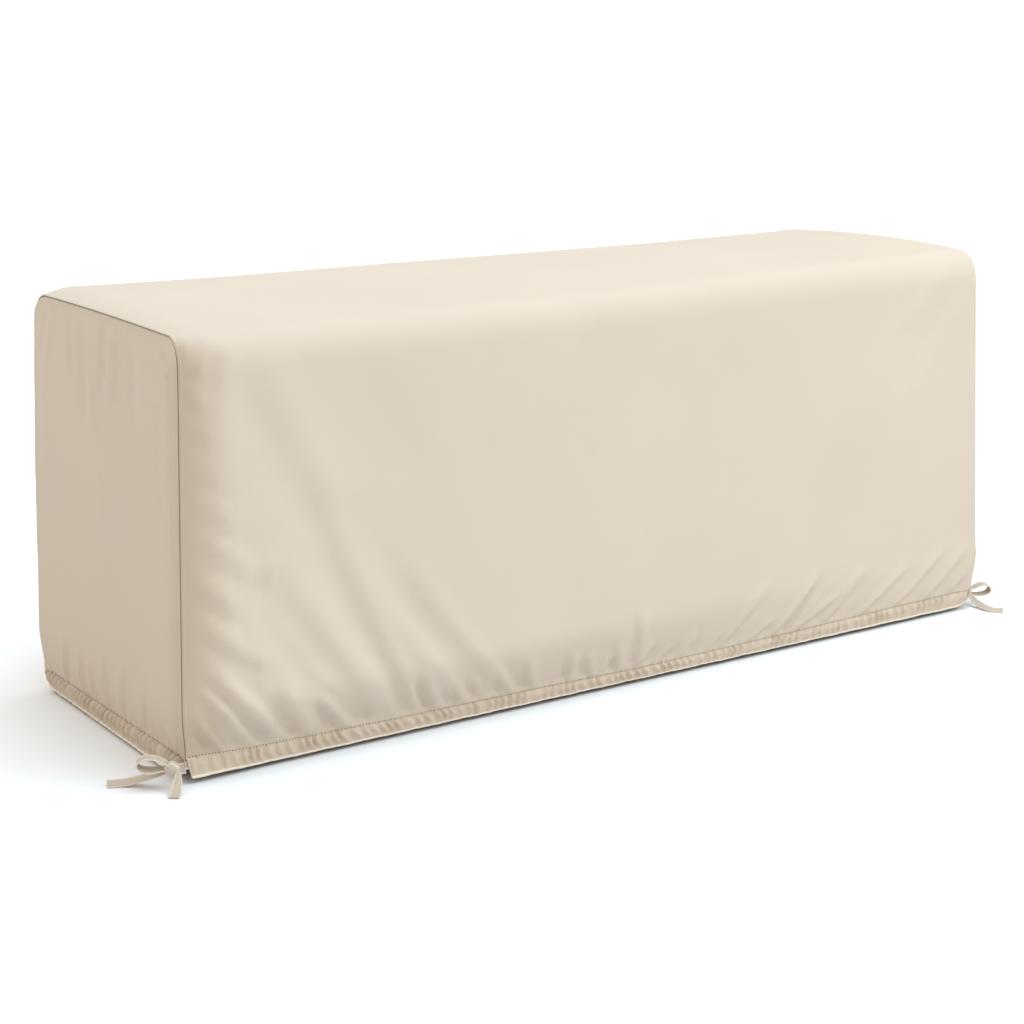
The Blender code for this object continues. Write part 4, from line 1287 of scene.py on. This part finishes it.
class COVER_OT_ties(bpy.types.Operator):
    """Make the two tied tapes"""

    bl_idname = "cover.make_ties"
    bl_label = "Make ties"

    def execute(self, context):
        cover, colours = settings()
        tape = woven_cloth("tape_fabric", colours.tape, colours.tape_edge_highlight, TAPE_EDGE_HIGHLIGHT)
        ties = (
            ("left", -1.0, LEFT_ROUTE, LEFT_KNOT, 1.0, LEFT_SHORT_TAIL),
            ("right", 1.0, RIGHT_ROUTE, RIGHT_KNOT, 0.75, None),
        )
        for word, side, route, knot, knot_scale, tail in ties:
            centre, across, share = smooth_route(cover, side, route)
            main = tape_object(cover, f"{word}_tape", centre, across, share, tape)
            add_piece(main, "tie_tape", f"{word}_tie")
            lump = knot_object(f"{word}_knot", place(cover, side, *knot), knot_scale, tape)
            add_piece(lump, "tie_tape")
            if tail:
                points, widths, shares = smooth_route(cover, side, tail)
                short = tape_object(cover, f"{word}_short_tail", points, widths, shares, tape)
                add_piece(short, "tie_tape")
        return {"FINISHED"}


def add_light(name, kind, toward, **looks):
    """A broad light that shines on the cover from a direction, or from a place where it needs one."""
    data = bpy.data.lights.new(name, kind)
    for look, value in looks.items():
        setattr(data, look, value)
    light = bpy.data.objects.new(name, data)
    x, y, z = toward
    if kind == "AREA":
        light.location = toward
    light.rotation_euler = (math.atan2(math.hypot(x, y), z), 0.0, math.atan2(x, -y))
    bpy.context.scene.collection.objects.link(light)


class COVER_OT_stage(bpy.types.Operator):
    """Make the floor, the studio light and the camera"""

    bl_idname = "cover.make_stage"
    bl_label = "Make stage"

    def execute(self, context):
        cover, colours = settings()
        scene = context.scene
        corners = np.array(((-1, -1, 0), (1, -1, 0), (1, 1, 0), (-1, 1, 0)), float) * FLOOR_REACH
        corners[:, 2] = -cover.floor
        pale = plain_material("pale_floor", colours.floor, 0.90, 0.2, 2.0)
        floor = mesh_object("studio_floor", corners, np.array(((0, 1, 2, 3),)), pale)

        world = bpy.data.worlds.new("studio")
        world.use_nodes = True
        back = world.node_tree.nodes["Background"]
        back.inputs["Color"].default_value = (1.0, 0.96, 0.90, 1.0)
        back.inputs["Strength"].default_value = 1.18
        scene.world = world
        scene.view_settings.view_transform = "Standard"
        scene.view_settings.look = "None"
        scene.view_settings.exposure = 0.0
        scene.view_settings.gamma = 1.0

        add_light(
            "key", "SUN", (0.28, -0.27, 0.92), energy=2.20, color=(0.56, 0.79, 1.0), angle=math.radians(50.0)
        )
        add_light(
            "right_panel", "AREA", (1.60, -2.45, 1.60), energy=27.0, color=(0.90, 0.96, 1.0),
            shape="DISK", size=2.0,
        )

        data = bpy.data.cameras.new("camera")
        data.sensor_width = SENSOR_WIDTH
        data.lens = CAMERA_FOCAL * SENSOR_WIDTH
        data.clip_end = 500.0
        camera = bpy.data.objects.new("camera", data)
        x, y, above_floor = CAMERA_PLACE
        camera.location = (x, y, above_floor - cover.floor)
        camera.rotation_euler = (math.radians(90.0 - CAMERA_DOWN), 0.0, math.radians(-CAMERA_YAW))
        scene.collection.objects.link(camera)
        scene.camera = camera
        return {"FINISHED"}


class COVER_PT_sidebar(bpy.types.Panel):
    """The cover's sizes, colours and steps"""

    bl_label = "Outdoor sofa cover"
    bl_idname = "COVER_PT_sidebar"
    bl_space_type = "VIEW_3D"
    bl_region_type = "UI"
    bl_category = "Cover"

    def draw(self, context):
        layout = self.layout
        for group in (context.scene.cover_sizes, context.scene.cover_colours):
            for name in group.bl_rna.properties.keys():
                if name not in ("rna_type", "name"):
                    layout.prop(group, name)
        for step in STEPS:
            layout.operator(step.bl_idname)


STEPS = (COVER_OT_wrap, COVER_OT_ends, COVER_OT_stitching, COVER_OT_ties, COVER_OT_stage)
CLASSES = (CoverSizes, CoverColours, *STEPS, COVER_PT_sidebar)


def register():
    for item in CLASSES:
        bpy.utils.register_class(item)
    bpy.types.Scene.cover_sizes = bpy.props.PointerProperty(type=CoverSizes)
    bpy.types.Scene.cover_colours = bpy.props.PointerProperty(type=CoverColours)


def unregister():
    del bpy.types.Scene.cover_colours
    del bpy.types.Scene.cover_sizes
    for item in reversed(CLASSES):
        bpy.utils.unregister_class(item)


def main():
    register()
    bpy.ops.cover.make_wrap()
    bpy.ops.cover.make_ends()
    bpy.ops.cover.make_stitching()
    bpy.ops.cover.make_ties()
    bpy.ops.cover.make_stage()
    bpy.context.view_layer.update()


if __name__ == "__main__":
    main()
